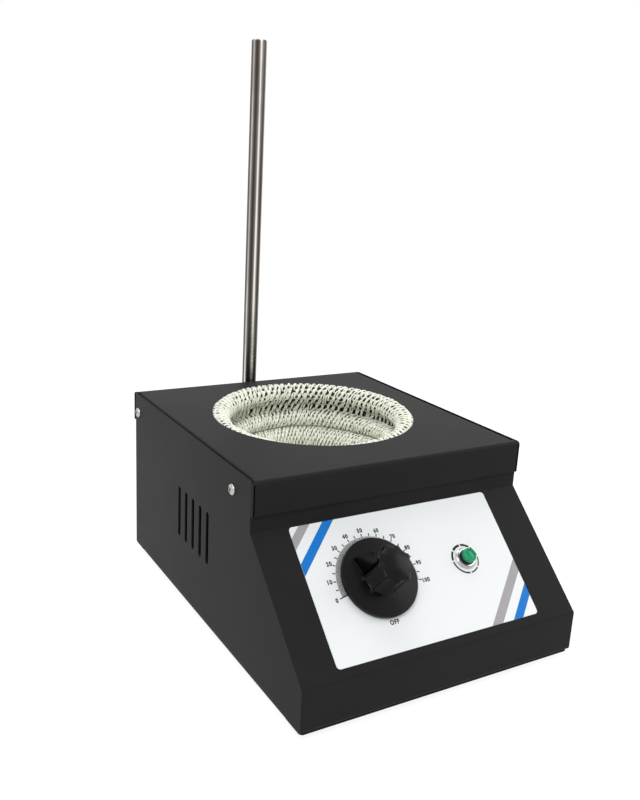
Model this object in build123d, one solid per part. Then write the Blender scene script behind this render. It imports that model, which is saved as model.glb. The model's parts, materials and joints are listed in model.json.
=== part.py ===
"""Laboratory heating mantle for a one-litre round-bottomed flask.

A folded sheet-steel cabinet with a sloping control panel holds a knitted glass-yarn
bowl in its square top cover. A support rod stands in a clamp on the back.
Millimetres, +Z up, front towards -Y. The origin is the middle of the overall box, on
the surface that the feet stand on. Depths (y) in this file are measured from the
outer face of the cover's front flange, and moved to the origin when a piece is written.
"""
from build123d import *
import math
import os

# ---- cabinet
cabinet_width = 210.0      # over the two side panels
cover_depth = 216.0        # over the cover's front and back flanges
body_height = 128.0        # lower edge of the side panels to the top of the cover
sheet = 1.2                # side, front, back and base sheets
cover_sheet = 1.5          # top cover
bend_radius = 1.0          # inside radius of every fold
seam_gap = 0.4             # open seam between the cover and the side panels
flange_height = 22.5       # front and back flanges of the cover
side_flange_height = 20.0  # inner side flanges of the cover
cover_notch = 5.0          # the cover's side flanges stop this far from its corners
band_gap = 0.5             # front band behind the cover's front flange
back_gap = 2.0             # back panel inside the cover's back flange
band_drop = 33.6           # top of the cover to the lower edge of the front band
lip_reach = 69.3           # front lip in front of the cover
lip_height = 28.4
return_depth = 15.0        # bottom returns of the front and back panels
weld_flange = 10.0         # side flanges of the front and back panels
weld_notch = 6.0           # these flanges stop this far from a fold
base_flange = 14.0         # bottom flanges of the side panels
base_inset = 1.0           # base plate inside the cabinet's outline

# ---- side vents
vent_count = 5
vent_pitch = 12.6
vent_width = 4.5
vent_height = 38.0
vent_y = 91.9              # middle slot, behind the cover's front face
vent_rise = 64.1           # middle of the slots above the panel's lower edge

# ---- fixings
cover_screw_front = 28.4   # front screws behind the cover's front face
cover_screw_back = 10.5    # back screws in front of its back face
cover_screw_drop = 14.5    # below the top of the cover
cover_screw_radius = 2.0
cover_screw_length = 8.0
thread_gap = 0.05          # radial, screw in its nut or tapped hole
hole_gap = 0.25            # radial, screw in a plain hole
nut_height = 3.2
nut_flats = 7.0            # of every nut on a thread of 4 mm
small_nut_flats = 5.5      # of every nut on a thread of 3 mm
base_screw_radius = 1.5
base_screw_length = 6.0
base_screw_inset = 8.0     # from the cabinet's side to the screw
base_screw_ends = 38.0     # first and last screw, from the ends of the cabinet
foot_height = 5.0
foot_radius = 9.5
foot_inset = 32.0          # from the cabinet's outline to the middle of a foot
foot_bevel = 1.5
foot_recess_radius = 4.6   # for the screw's head
foot_screw_radius = 2.0
foot_screw_length = 10.0

# ---- knitted bowl
rim_reach = 4.5            # opening in the cover beyond the knitted wall's inner face
soft_gap = 0.3             # fabric to its neighbours
yarn_wall = 3.0            # knitted wall
bowl_radius = 71.0         # inner face of the knitted wall, from the middle of the opening
roll_radius = 5.5          # rolls of the knit
rim_rise = 2.6             # rim roll above the cover
roll_depth = 2.5           # middle of a roll inside the back of the wall
roll_angles = (17.0, 31.5, 46.5, 62.0, 78.0)   # below the rim, seen from the middle
cord_radius = 2.5          # heating cord behind each roll
cord_gap = 0.4
hem_thickness = 1.2
hem_reach = 5.5            # hem beyond the opening

# ---- bowl housing
wool_wall = 10.0           # housing's outer face beyond the knitted wall
wool_floor = 18.0          # and below it
housing_to_back = 19.0     # in front of the cover's back face
housing_sheet = 1.0
housing_corner = 46.0
lug_width = 14.0
lug_reach = 13.0           # lugs beyond the housing's wall
stud_radius = 2.0
stud_length = 12.0

# ---- control panel
label_width = 155.0
label_length = 90.3
label_thickness = 0.4
label_corner = 2.5
label_top = 0.9            # below the band, down the slope
label_u = -2.0             # its middle, right of the panel's middle
control_v = 44.6           # knob and lamp, down the slope from the band
knob_u = -31.6
lamp_u = 37.7
dial_zero = 192.0          # pointer angles, from the panel's right, counter-clockwise
dial_full = -12.0
dial_setting = 27.0        # where the knob stands

# ---- knob
skirt_radius = 26.0
skirt_edge = 2.6
skirt_rise = 4.4           # skirt from its lower face to the foot of the grip
knob_lift = 1.5            # skirt above the panel's face
knob_height = 25.3         # top of the grip above the panel's face
knob_wall = 4.8            # end of the shaft to the top of the grip
crown_bevel = 0.7
grip_radius = 12.6
grip_taper = 0.5           # degrees
flute_count = 9
flute_radius = 7.0
flute_depth = 1.6
pointer_reach = 20.5       # tip of the pointer on the skirt
pointer_crest = 15.0       # and at the top of the grip
pointer_width = 11.0
pointer_height = 2.0       # upright end of the pointer above the foot of the grip

# ---- energy regulator behind the knob
shaft_radius = 3.0
shaft_flat = 0.8           # depth of the flat that drives the knob
running_gap = 0.05         # radial, shaft in its bush
bush_radius = 5.0
bush_length = 7.0          # above the panel's face
regulator_size = 44.0
regulator_depth = 30.0
regulator_corner = 4.8
regulator_nut_flats = 14.0
regulator_nut_height = 2.4
tab_size = (0.8, 6.3)      # push-on terminals
tab_length = 8.0
regulator_tab_count = 4
regulator_tab_pitch = 9.0
lamp_tab_count = 2
lamp_tab_pitch = 5.0

# ---- pilot lamp
lamp_body_radius = 5.3
lamp_body_length = 24.0
lamp_bezel_radius = 7.3
lamp_bezel_height = 2.6
lamp_bezel_step = 1.0
lamp_bezel_flange = 0.9    # height of its flange and of the cone above it
lamp_bezel_cone = 0.5
lamp_neck_radius = 5.0     # of the lamp's body in front of the bezel
lamp_neck_rise = 2.0
lamp_nut_flats = 14.0
lens_radius = 4.9
lens_rise = 7.4            # lens above the panel's face
lens_facets = 8
lens_crown = 1.6
lens_taper = 40.0          # degrees, of the crown

# ---- support rod and its clamp
rod_radius = 6.0
rod_height = 272.0         # rod above the top of the cover
rod_length = 312.0         # above its shoulder
spigot_radius = 5.0        # turned end in the clamp
rod_chamfer = 0.8
rod_gap = 0.05             # radial, rod in its clamp
rod_to_cover = 2.5         # rod behind the cover's back flange
clamp_wall = 5.0
clamp_depth = 40.0         # spigot inside its clamp
clamp_floor = 4.0
clamp_ear = 14.0           # ears beyond the boss
clamp_plate = 4.0
clamp_screw_inset = 6.2    # from the ends of the ears
thumb_rise = 24.0          # thumb screw above the foot of the rod
thumb_radius = 3.0
thumb_head_radius = 7.0
thumb_head_length = 10.0
thumb_lobes = 8
thumb_notch = 2.2          # radius of the notches between the lobes
thumb_stand = 2.4          # head clear of the boss

# ---- mains inlet on the back
inlet_inset = 43.0         # from the cabinet's side
inlet_rise = 38.0          # above the panel's lower edge
inlet_flange = (50.0, 24.0, 3.0)
inlet_body = (27.5, 19.5, 17.0)
inlet_recess = (24.4, 16.4, 15.0)
inlet_corner = 2.0
inlet_pitch = 40.0         # between its fixing screws
pin_size = (2.0, 4.0)
pin_length = 13.0
pin_pitch = 14.0           # between line and neutral
pin_offset = 2.0           # above and below the middle
pin_bevel = 0.4

# ---- inside the base
block_size = (46.0, 22.0, 18.0)
block_corner = 2.0
block_way_count = 3
way_radius = 2.4           # wire holes, with their screws above
way_screw_radius = 2.0
way_level = 10.8           # above the foot of the block
block_inset = 50.0         # from the cabinet's side
block_to_back = 56.5       # from the back panel
earth_inset = 35.0
earth_to_back = 46.5
earth_length = 20.0
washer_height = 1.0

# ---- levels and faces that follow from the sizes above
edge_z = foot_height + sheet
top_z = edge_z + body_height
under_z = top_z - cover_sheet
half_width = cabinet_width / 2
inner_half = half_width - sheet
cover_half = inner_half - seam_gap
band_y = cover_sheet + band_gap
band_z = top_z - band_drop
lip_y = -lip_reach
lip_z = edge_z + lip_height
back_y = cover_depth - cover_sheet - back_gap
fold_radius = bend_radius + sheet
slope_length = math.hypot(band_y - lip_y, band_z - lip_z)
slope_normal = (0, -(band_z - lip_z) / slope_length, (band_y - lip_y) / slope_length)
panel = Plane(origin=(0, band_y, band_z), x_dir=(1, 0, 0), z_dir=slope_normal)
down_panel = Plane(origin=panel.origin, x_dir=(1, 0, 0), z_dir=-panel.y_dir)
hole_radius = bowl_radius + rim_reach
hem_radius = hole_radius + hem_reach
housing_radius = bowl_radius + yarn_wall + wool_wall
housing_depth = bowl_radius + yarn_wall + wool_floor
hole_y = cover_depth - housing_to_back - housing_radius
bowl = Pos(0, hole_y, top_z)
rod_y = cover_depth + rod_to_cover + rod_radius
clamp_radius = rod_radius + clamp_wall
rod_top_z = top_z + rod_height
shoulder_z = rod_top_z - rod_length
rod_foot_z = shoulder_z - clamp_depth
thumb_z = rod_foot_z + thumb_rise
clamp_low = rod_foot_z - clamp_floor
clamp_height = clamp_floor + clamp_depth
pointer_angle = dial_zero + (dial_full - dial_zero) * dial_setting / 100
centre_y = (lip_y + rod_y + clamp_radius) / 2
BOTH = (-1, 1)

# ---- places shared by holes and what goes in them
cover_screw_ys = (cover_screw_front, cover_depth - cover_screw_back)
foot_places = [(x * (half_width - foot_inset), y) for x in BOTH
               for y in (lip_y + foot_inset, back_y - foot_inset)]
base_screw_ys = (lip_y + base_screw_ends, (lip_y + back_y) / 2, back_y - base_screw_ends)
base_screw_places = [(x * (half_width - base_screw_inset), y) for x in BOTH for y in base_screw_ys]
block_x = half_width - block_inset
block_y = back_y - block_to_back
block_screw_xs = [block_x + side * block_size[0] / 4 for side in BOTH]
earth_x = earth_inset - half_width
earth_y = back_y - earth_to_back
inlet_x = inlet_inset - half_width
inlet_z = edge_z + inlet_rise
inlet_screw_places = [(inlet_x + side * inlet_pitch / 2, inlet_z) for side in BOTH]
clamp_screw_places = [(side * (clamp_radius + clamp_ear / 2), z) for side in BOTH
                      for z in (clamp_low + clamp_screw_inset, shoulder_z - clamp_screw_inset)]
lug_places = [Rot(0, 0, 45 + 90 * index) for index in range(4)]
lug_screw_radius = housing_radius + lug_reach / 2


def write(node, *solids):
    """Move the solids of one node to the origin and write them as parts/<node>.step."""
    moved = [Pos(0, -centre_y, 0) * solid for solid in solids]
    placed = moved[0] if len(moved) == 1 else Compound(moved)
    placed.label = node
    export_step(placed, f"parts/{node}.step")


def on_panel(u, v, n=0.0):
    """A place on the control panel: u to the right, v down the slope, n out of its face."""
    return panel.location * Pos(u, -v, n)


def hexagon(flats, height, bore):
    """A hexagon nut, standing on z = 0."""
    body = extrude(RegularPolygon(flats / 2, 6, major_radius=False), height)
    return body - Cylinder(bore, height, align=(Align.CENTER, Align.CENTER, Align.MIN))


def rod(radius, low, high):
    """A plain round bar along Z."""
    return Pos(0, 0, low) * Cylinder(radius, high - low, align=(Align.CENTER, Align.CENTER, Align.MIN))


def pan_screw(radius, length):
    """A pan-head screw along Z: head above z = 0, shank below."""
    head_radius = 1.9 * radius
    head_height = 1.1 * radius
    dome = (head_radius**2 + head_height**2) / (2 * head_height)
    head = Pos(0, 0, head_height - dome) * Sphere(dome)
    head = head & rod(head_radius, 0, head_height)
    return head + rod(radius, -length, 0)


# ---- folded sheet
def inward(path, thickness):
    """The path moved to its left by one sheet thickness, with mitred corners."""
    steps = [(b[0] - a[0], b[1] - a[1]) for a, b in zip(path, path[1:])]
    lengths = [math.hypot(*step) for step in steps]
    normals = [(-dy / size, dx / size) for (dx, dy), size in zip(steps, lengths)]
    before = [normals[0]] + normals
    after = normals + [normals[-1]]
    moved = []
    for (x, y), a, b in zip(path, before, after):
        share = thickness / (1 + a[0] * b[0] + a[1] * b[1])
        moved.append((x + (a[0] + b[0]) * share, y + (a[1] + b[1]) * share))
    return moved


def fold(path, plane, start, end, thickness=sheet):
    """Sheet folded along a path of outer corners and run from start to end along the plane's normal."""
    inner = inward(path, thickness)
    face = make_face(Polyline(*path, *reversed(inner), close=True))
    for index in range(1, len(path) - 1):
        a, b, c = path[index - 1:index + 2]
        turn = (b[0] - a[0]) * (c[1] - b[1]) - (b[1] - a[1]) * (c[0] - b[0])
        corners = (inner[index], b) if turn > 0 else (b, inner[index])
        for corner, radius in zip(corners, (bend_radius, bend_radius + thickness)):
            vertex = face.vertices().sort_by_distance((*corner, 0))[0]
            face = fillet(vertex, radius)
    return plane.location * Pos(0, 0, start) * extrude(face, end - start)


def with_side_flanges(part, plane, half, depth, start, end, thickness=sheet):
    """Fold both side edges of a sheet whose outer face is the plane's y = 0."""
    strip = bend_radius + thickness
    for side in BOTH:
        edge = Box(strip, thickness, end - start, align=(Align.CENTER, Align.MAX, Align.MIN))
        part -= plane.location * Pos(side * (half - strip / 2), 0, start) * edge
    path = [(half, -depth), (half, 0), (-half, 0), (-half, -depth)]
    return part + fold(path, plane, start, end, thickness)


def with_square_flanges(part, plane, half, depth, start, end):
    """Weld a square flange under both side edges of a sheet whose outer face is the plane's y = 0."""
    flange = Box(sheet, depth, end - start, align=(Align.MAX, Align.MAX, Align.MIN))
    right = Pos(half, 0, start) * flange
    return part + plane.location * (right + mirror(right, about=Plane.YZ))


# ---- cabinet pieces
def top_cover():
    low = top_z - flange_height
    path = [(cover_depth, low), (cover_depth, top_z), (0, top_z), (0, low)]
    part = fold(path, Plane.YZ, -half_width, half_width, cover_sheet)
    strip = Box(half_width, cover_depth - 2 * cover_sheet, 4 * cover_sheet,
                align=(Align.MIN, Align.MIN, Align.CENTER))
    strip = Pos(cover_half, cover_sheet, top_z) * strip
    part -= strip + mirror(strip, about=Plane.YZ)
    upper = Plane(origin=(0, 0, top_z), x_dir=(1, 0, 0), z_dir=(0, -1, 0))
    part = with_side_flanges(part, upper, cover_half, side_flange_height,
                             -(cover_depth - cover_notch), -cover_notch, cover_sheet)
    part -= bowl * rod(hole_radius, -2 * cover_sheet, cover_sheet)
    for y in cover_screw_ys:
        hole = Cylinder(cover_screw_radius + hole_gap, cabinet_width, rotation=(0, 90, 0))
        part -= Pos(0, y, top_z - cover_screw_drop) * hole
    return part


def side_panel():
    """The right side panel, with its vents and the bottom flange that carries the base plate."""
    outline = [(band_y, top_z), (band_y, band_z), (lip_y, lip_z), (lip_y, edge_z),
               (back_y, edge_z), (back_y, top_z)]
    face = make_face(Polyline(*outline, close=True))
    for corner, radius in zip(outline[1:5], (bend_radius, fold_radius, fold_radius, fold_radius)):
        vertex = face.vertices().sort_by_distance((*corner, 0))[0]
        face = fillet(vertex, radius)
    part = Plane.YZ.location * Pos(0, 0, inner_half) * extrude(face, sheet)
    start = -(back_y - return_depth - fold_radius)
    end = -(lip_y + return_depth + fold_radius)
    lower = Box(sheet, end - start, fold_radius, align=(Align.MIN, Align.MAX, Align.MIN))
    part -= Pos(inner_half, -start, edge_z) * lower
    path = [(half_width - base_flange, edge_z), (half_width, edge_z), (half_width, edge_z + 2 * fold_radius)]
    part += fold(path, Plane.XZ, start, end)
    slot = Plane.YZ.location * extrude(SlotOverall(vent_height, vent_width, rotation=90), cabinet_width)
    for index in range(vent_count):
        y = vent_y + (index - (vent_count - 1) / 2) * vent_pitch
        part -= Pos(0, y, edge_z + vent_rise) * slot
    for y in cover_screw_ys:
        hole = Cylinder(cover_screw_radius + hole_gap, cabinet_width, rotation=(0, 90, 0))
        part -= Pos(half_width, y, top_z - cover_screw_drop) * hole
    for y in base_screw_ys:
        part -= Pos(half_width - base_screw_inset, y, 0) * rod(base_screw_radius + thread_gap, 0, 3 * edge_z)
    return part


def front_panel():
    """Front band, sloping control panel, lip and bottom return, folded from one sheet."""
    path = [(band_y, under_z - seam_gap), (band_y, band_z), (lip_y, lip_z), (lip_y, edge_z),
            (lip_y + return_depth, edge_z)]
    part = fold(path, Plane.YZ, -inner_half, inner_half)
    part = with_square_flanges(part, down_panel, inner_half, weld_flange, weld_notch, slope_length - weld_notch)
    part -= on_panel(knob_u, control_v) * rod(bush_radius + hole_gap, -2 * sheet, sheet)
    part -= on_panel(lamp_u, control_v) * rod(lamp_body_radius + hole_gap, -2 * sheet, sheet)
    return part


def back_panel():
    path = [(back_y - return_depth, edge_z), (back_y, edge_z), (back_y, under_z - seam_gap)]
    part = fold(path, Plane.YZ, -inner_half, inner_half)
    behind = Plane(origin=(0, back_y, 0), x_dir=(1, 0, 0), z_dir=(0, 0, 1))
    part = with_side_flanges(part, behind, inner_half, weld_flange, edge_z + weld_notch,
                             top_z - flange_height - weld_notch)
    cut = Box(inlet_body[0] + 2 * hole_gap, 4 * sheet, inlet_body[1] + 2 * hole_gap)
    part -= Pos(inlet_x, back_y, inlet_z) * cut
    for x, z in inlet_screw_places:
        part -= Pos(x, back_y, z) * Cylinder(base_screw_radius + hole_gap, 4 * sheet, rotation=(90, 0, 0))
    for x, z in clamp_screw_places:
        part -= Pos(x, back_y, z) * Cylinder(foot_screw_radius + hole_gap, 4 * sheet, rotation=(90, 0, 0))
    return part


def base_plate():
    length = back_y - lip_y - 2 * base_inset
    outline = RectangleRounded(cabinet_width - 2 * base_inset, length, fold_radius)
    part = Pos(0, (back_y + lip_y) / 2, foot_height) * extrude(outline, sheet)
    for x, y in foot_places:
        part -= Pos(x, y, 0) * rod(foot_screw_radius + hole_gap, 0, 2 * edge_z)
    for x, y in base_screw_places:
        part -= Pos(x, y, 0) * rod(base_screw_radius + hole_gap, 0, 2 * edge_z)
    for x in block_screw_xs:
        part -= Pos(x, block_y, 0) * rod(base_screw_radius + hole_gap, 0, 2 * edge_z)
    part -= Pos(earth_x, earth_y, 0) * rod(foot_screw_radius + hole_gap, 0, 2 * edge_z)
    return part


# ---- bowl
def revolved(sketch):
    """Turn a profile drawn in (radius, height) about the bowl's upright axis."""
    return bowl * revolve(Plane.XZ * sketch, Axis.Z)


def right_half(low, high, reach=2 * housing_radius):
    """The part of the profile plane right of the axis, between two heights."""
    return Pos(0, low) * Rectangle(reach, high - low, align=(Align.MIN, Align.MIN))


def rim_place():
    return Pos(hole_radius - soft_gap - roll_radius, rim_rise - roll_radius)


def turns(radius):
    """Where the rolls and the cord behind them lie, at a distance from the bowl's middle."""
    return [(radius * math.cos(math.radians(a)), -radius * math.sin(math.radians(a))) for a in roll_angles]


def cord_places():
    return turns(bowl_radius + yarn_wall + cord_gap + cord_radius)


def knitted_rim():
    """The rolled edge of the knit, which fills the opening in the cover."""
    return revolved(rim_place() * Circle(roll_radius))


def knitted_bowl():
    """The knit below its rolled edge: a round-bottomed wall with a roll in front of each turn of cord."""
    outer = bowl_radius + yarn_wall
    hem_top = -cover_sheet - soft_gap
    wall = (Circle(outer) - Circle(bowl_radius)) & right_half(-outer, hem_top)
    hem = Rectangle(hem_radius - bowl_radius, hem_thickness, align=(Align.MIN, Align.MAX))
    wall += Pos(bowl_radius, hem_top) * hem
    for x, z in turns(outer - roll_depth):
        wall += Pos(x, z) * Circle(roll_radius) & Circle(outer)
    wall &= right_half(-outer, hem_top)
    return revolved(wall - rim_place() * Circle(roll_radius))


def heating_cord():
    """Turns of glass-sleeved resistance cord in the wool, one behind each roll of the knit."""
    return [bowl * Pos(0, 0, z) * Torus(x, cord_radius) for x, z in cord_places()]


def pot(inset):
    """Half profile of the housing, shrunk by an inset all round but open at the top."""
    radius = housing_radius - inset
    depth = housing_depth - inset
    face = Pos(0, -cover_sheet) * Rectangle(radius, depth, align=(Align.MIN, Align.MAX))
    corner = face.vertices().sort_by_distance((radius, -cover_sheet - depth, 0))[0]
    return fillet(corner, housing_corner - inset)


def insulation():
    hem_clear = cover_sheet + hem_thickness + 2 * soft_gap
    block = pot(housing_sheet + soft_gap) & right_half(-housing_depth - cover_sheet, -hem_clear)
    block -= Circle(bowl_radius + yarn_wall + soft_gap)
    for x, z in cord_places():
        block -= Pos(x, z) * Circle(cord_radius + cord_gap)
    return revolved(block - rim_place() * Circle(roll_radius + soft_gap))


def bowl_housing():
    shell = revolved(pot(0) - pot(housing_sheet))
    half = Rectangle(lug_reach, lug_width, align=(Align.MIN, Align.CENTER))
    lug = SlotOverall(2 * lug_reach, lug_width) & half
    lug = extrude(Pos(housing_radius - housing_sheet / 2, 0) * lug, -housing_sheet)
    lug -= Pos(lug_screw_radius, 0) * rod(stud_radius + hole_gap, -2 * housing_sheet, housing_sheet)
    for turn in lug_places:
        shell += bowl * Pos(0, 0, -cover_sheet) * turn * lug
    return shell


def at_lugs(shape, height):
    return [bowl * Pos(0, 0, height) * turn * Pos(lug_screw_radius, 0) * shape for turn in lug_places]


# ---- controls
def control_label():
    outline = RectangleRounded(label_width, label_length, label_corner)
    part = on_panel(label_u, label_top + label_length / 2) * extrude(outline, label_thickness)
    part -= on_panel(knob_u, control_v) * rod(bush_radius + hole_gap, -sheet, sheet)
    part -= on_panel(lamp_u, control_v) * rod(lamp_body_radius + hole_gap, -sheet, sheet)
    return part


def at_knob(shape):
    return on_panel(knob_u, control_v) * Rot(0, 0, pointer_angle) * shape


def knob():
    """Moulded pointer knob: a shallow cone for a skirt and a fluted grip with a beak for a pointer."""
    foot = knob_lift + skirt_rise
    skirt = Polyline((0, knob_lift), (skirt_radius, knob_lift), (skirt_radius, knob_lift + skirt_edge),
                     (grip_radius, foot), (0, foot), close=True)
    part = revolve(Plane.XZ * make_face(skirt), Axis.Z)
    grip = Pos(0, 0, foot) * extrude(Circle(grip_radius), knob_height - foot, taper=grip_taper)
    flute = rod(flute_radius, foot, knob_height)
    for index in range(flute_count):
        angle = (index + 0.5) * 360 / flute_count
        grip -= Rot(0, 0, angle) * Pos(grip_radius + flute_radius - flute_depth, 0) * flute
    crown = grip.faces().sort_by(Axis.Z)[-1]
    grip = chamfer(crown.edges(), crown_bevel)
    part += grip + beak(knob_lift + skirt_edge, foot + pointer_height, knob_height - crown_bevel)
    nut_room = regulator_nut_flats / math.sqrt(3) + 2 * hole_gap
    part -= rod(nut_room, 0, label_thickness + regulator_nut_height + 2 * hole_gap)
    part -= rod(bush_radius + 2 * hole_gap, 0, bush_length + 2 * hole_gap)
    part -= shaft_bar(thread_gap)
    return at_knob(part)


def beak(low, edge, crest):
    """The pointer: a pointed beak, upright to its edge and then sloping back to the grip's crown."""
    root = grip_radius - flute_depth
    levels = ((low, pointer_reach), (edge, pointer_reach), (crest, pointer_crest))
    plans = [Pos(0, 0, level) * make_face(Polyline((root, -pointer_width / 2), (reach, 0),
                                                   (root, pointer_width / 2), close=True))
             for level, reach in levels]
    return loft(plans, ruled=True)


def shaft_bar(gap):
    """The regulator's shaft with its driving flat, swelled by a gap for the knob's bore."""
    end = knob_height - knob_wall
    bar = rod(shaft_radius + gap, -sheet, end + gap)
    flat = Box(2 * shaft_radius, 2 * shaft_radius, end, align=(Align.MIN, Align.CENTER, Align.MIN))
    return bar - Pos(shaft_radius - shaft_flat + gap, 0, bush_length + hole_gap) * flat


def regulator_body():
    """Moulded case behind the panel with its threaded bush through it."""
    case = Box(regulator_size, regulator_size, regulator_depth, align=(Align.CENTER, Align.CENTER, Align.MAX))
    case = fillet(case.edges().filter_by(Axis.Z), regulator_corner)
    part = Pos(0, 0, -sheet) * case + rod(bush_radius, -sheet, bush_length)
    part -= rod(shaft_radius + running_gap, -2 * sheet, bush_length)
    return on_panel(knob_u, control_v) * part


def terminal_tabs(count, pitch, back):
    """A row of push-on tabs that stand on a case whose back is at the given height."""
    tab = Box(*tab_size, tab_length, align=(Align.CENTER, Align.CENTER, Align.MAX))
    return [Pos((index - (count - 1) / 2) * pitch, 0, back) * tab for index in range(count)]


def lamp_bezel():
    """Turned ring with a flange, a short cone and a collar."""
    inner = lamp_body_radius + thread_gap
    collar = lamp_bezel_radius - lamp_bezel_step
    low = label_thickness
    cone = low + lamp_bezel_flange
    front = low + lamp_bezel_height
    ring = Polyline((inner, low), (lamp_bezel_radius, low), (lamp_bezel_radius, cone),
                    (collar, cone + lamp_bezel_cone), (collar, front), (inner, front), close=True)
    return on_panel(lamp_u, control_v) * revolve(Plane.XZ * make_face(ring), Axis.Z)


def lamp_body():
    """Threaded body through the panel and the narrower neck that carries the lens."""
    front = label_thickness + lamp_bezel_height
    part = rod(lamp_body_radius, -lamp_body_length, front) + rod(lamp_neck_radius, 0, front + lamp_neck_rise)
    return on_panel(lamp_u, control_v) * part


def lamp_lens():
    """Faceted green lens with a domed front."""
    low = label_thickness + lamp_bezel_height + lamp_neck_rise
    shoulder = lens_rise - lens_crown
    body = Pos(0, 0, low) * extrude(RegularPolygon(lens_radius, lens_facets), shoulder - low)
    crown = extrude(RegularPolygon(lens_radius, lens_facets), lens_crown, taper=lens_taper)
    return on_panel(lamp_u, control_v) * (body + Pos(0, 0, shoulder) * crown)


# ---- support rod
def support_rod():
    """Ground bar with a turned end, whose shoulder stands on the clamp."""
    profile = Polyline((0, rod_foot_z), (spigot_radius - rod_chamfer, rod_foot_z),
                       (spigot_radius, rod_foot_z + rod_chamfer), (spigot_radius, shoulder_z),
                       (rod_radius, shoulder_z), (rod_radius, rod_top_z - rod_chamfer),
                       (rod_radius - rod_chamfer, rod_top_z), (0, rod_top_z), close=True)
    return Pos(0, rod_y, 0) * revolve(Plane.XZ * make_face(profile), Axis.Z)


def rod_clamp():
    """Boss with a blind bore for the rod's turned end and two ears screwed to the back panel."""
    low = Pos(0, 0, clamp_low)
    boss = Pos(0, rod_y) * Circle(clamp_radius)
    web = Pos(0, back_y) * Rectangle(2 * clamp_radius, rod_y - back_y, align=(Align.CENTER, Align.MIN))
    ears = Pos(0, back_y) * Rectangle(2 * (clamp_radius + clamp_ear), clamp_plate,
                                      align=(Align.CENTER, Align.MIN))
    part = low * extrude(boss + web + ears, clamp_height)
    part -= Pos(0, rod_y) * rod(spigot_radius + rod_gap, rod_foot_z, shoulder_z)
    hole = Cylinder(thumb_radius + thread_gap, 2 * clamp_radius, rotation=(0, 90, 0))
    part -= Pos(clamp_radius + rod_gap, rod_y, thumb_z) * hole
    hole = Cylinder(foot_screw_radius + hole_gap, 4 * clamp_plate, rotation=(90, 0, 0))
    for x, z in clamp_screw_places:
        part -= Pos(x, back_y, z) * hole
    return part


def thumb_screw():
    """Clamping screw along X: its tip meets the rod, its lobed head stands clear of the boss."""
    seat = clamp_radius + thumb_stand
    part = rod(thumb_radius, spigot_radius + rod_gap, seat)
    head = rod(thumb_head_radius, seat, seat + thumb_head_length)
    notch = Pos(thumb_head_radius + thumb_notch / 2, 0) * rod(thumb_notch, seat, seat + thumb_head_length)
    for index in range(thumb_lobes):
        head -= Rot(0, 0, index * 360 / thumb_lobes) * notch
    part += head
    return Pos(0, rod_y, thumb_z) * Rot(0, 90, 0) * part


# ---- mains inlet
def inlet_socket():
    """Rectangular mains inlet with a flange on the panel and a recess for the connector."""
    at = Pos(inlet_x, back_y, inlet_z) * Rot(-90, 0, 0)
    width, height, thick = inlet_flange
    flange = extrude(RectangleRounded(width, height, height / 4), thick)
    body = Box(*inlet_body, align=(Align.CENTER, Align.CENTER, Align.MAX))
    recess = RectangleRounded(inlet_recess[0], inlet_recess[1], inlet_corner)
    part = flange + body - Pos(0, 0, thick - inlet_recess[2]) * extrude(recess, inlet_recess[2])
    for side in BOTH:
        part -= Pos(side * inlet_pitch / 2, 0) * rod(base_screw_radius + hole_gap, -thick, 2 * thick)
    return at * part


def inlet_pins():
    at = Pos(inlet_x, back_y, inlet_z) * Rot(-90, 0, 0)
    low = inlet_flange[2] - inlet_recess[2]
    pin = Box(*pin_size, pin_length, align=(Align.CENTER, Align.CENTER, Align.MIN))
    pin = chamfer(pin.faces().sort_by(Axis.Z)[-1].edges(), pin_bevel)
    places = [(-pin_pitch / 2, pin_offset), (0, -pin_offset), (pin_pitch / 2, pin_offset)]
    return [at * Pos(x, y, low) * pin for x, y in places]


# ---- small fixings
def cover_screws():
    level = top_z - cover_screw_drop
    screw = pan_screw(cover_screw_radius, cover_screw_length)
    return [Pos(side * half_width, y, level) * Rot(0, 90 * side, 0) * screw
            for side in BOTH for y in cover_screw_ys]


def cover_nuts():
    nut = hexagon(nut_flats, nut_height, cover_screw_radius + thread_gap)
    level = top_z - cover_screw_drop
    return [Pos(side * (cover_half - cover_sheet), y, level) * Rot(0, -90 * side, 0) * nut
            for side in BOTH for y in cover_screw_ys]


def back_screws(places, radius, face):
    """Screws from behind, just long enough for the nuts inside the back panel."""
    screw = pan_screw(radius, face - back_y + sheet + nut_height)
    return [Pos(x, face, z) * Rot(-90, 0, 0) * screw for x, z in places]


def back_nuts(places, radius, flats):
    nut = hexagon(flats, nut_height, radius + thread_gap)
    return [Pos(x, back_y - sheet, z) * Rot(90, 0, 0) * nut for x, z in places]


def feet():
    """Rubber feet with a recess for the screw head."""
    hole = foot_screw_radius + hole_gap
    profile = Polyline((hole, foot_height), (foot_radius, foot_height), (foot_radius - foot_bevel, 0),
                       (foot_recess_radius, 0), (foot_recess_radius, foot_height / 2),
                       (hole, foot_height / 2), close=True)
    foot = revolve(Plane.XZ * make_face(profile), Axis.Z)
    return [Pos(x, y, 0) * foot for x, y in foot_places]


def upward_screws(places, radius, level, length):
    screw = Rot(180, 0, 0) * pan_screw(radius, length)
    return [Pos(x, y, level) * screw for x, y in places]


def upright(shape, places, level):
    return [Pos(x, y, level) * shape for x, y in places]


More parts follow.
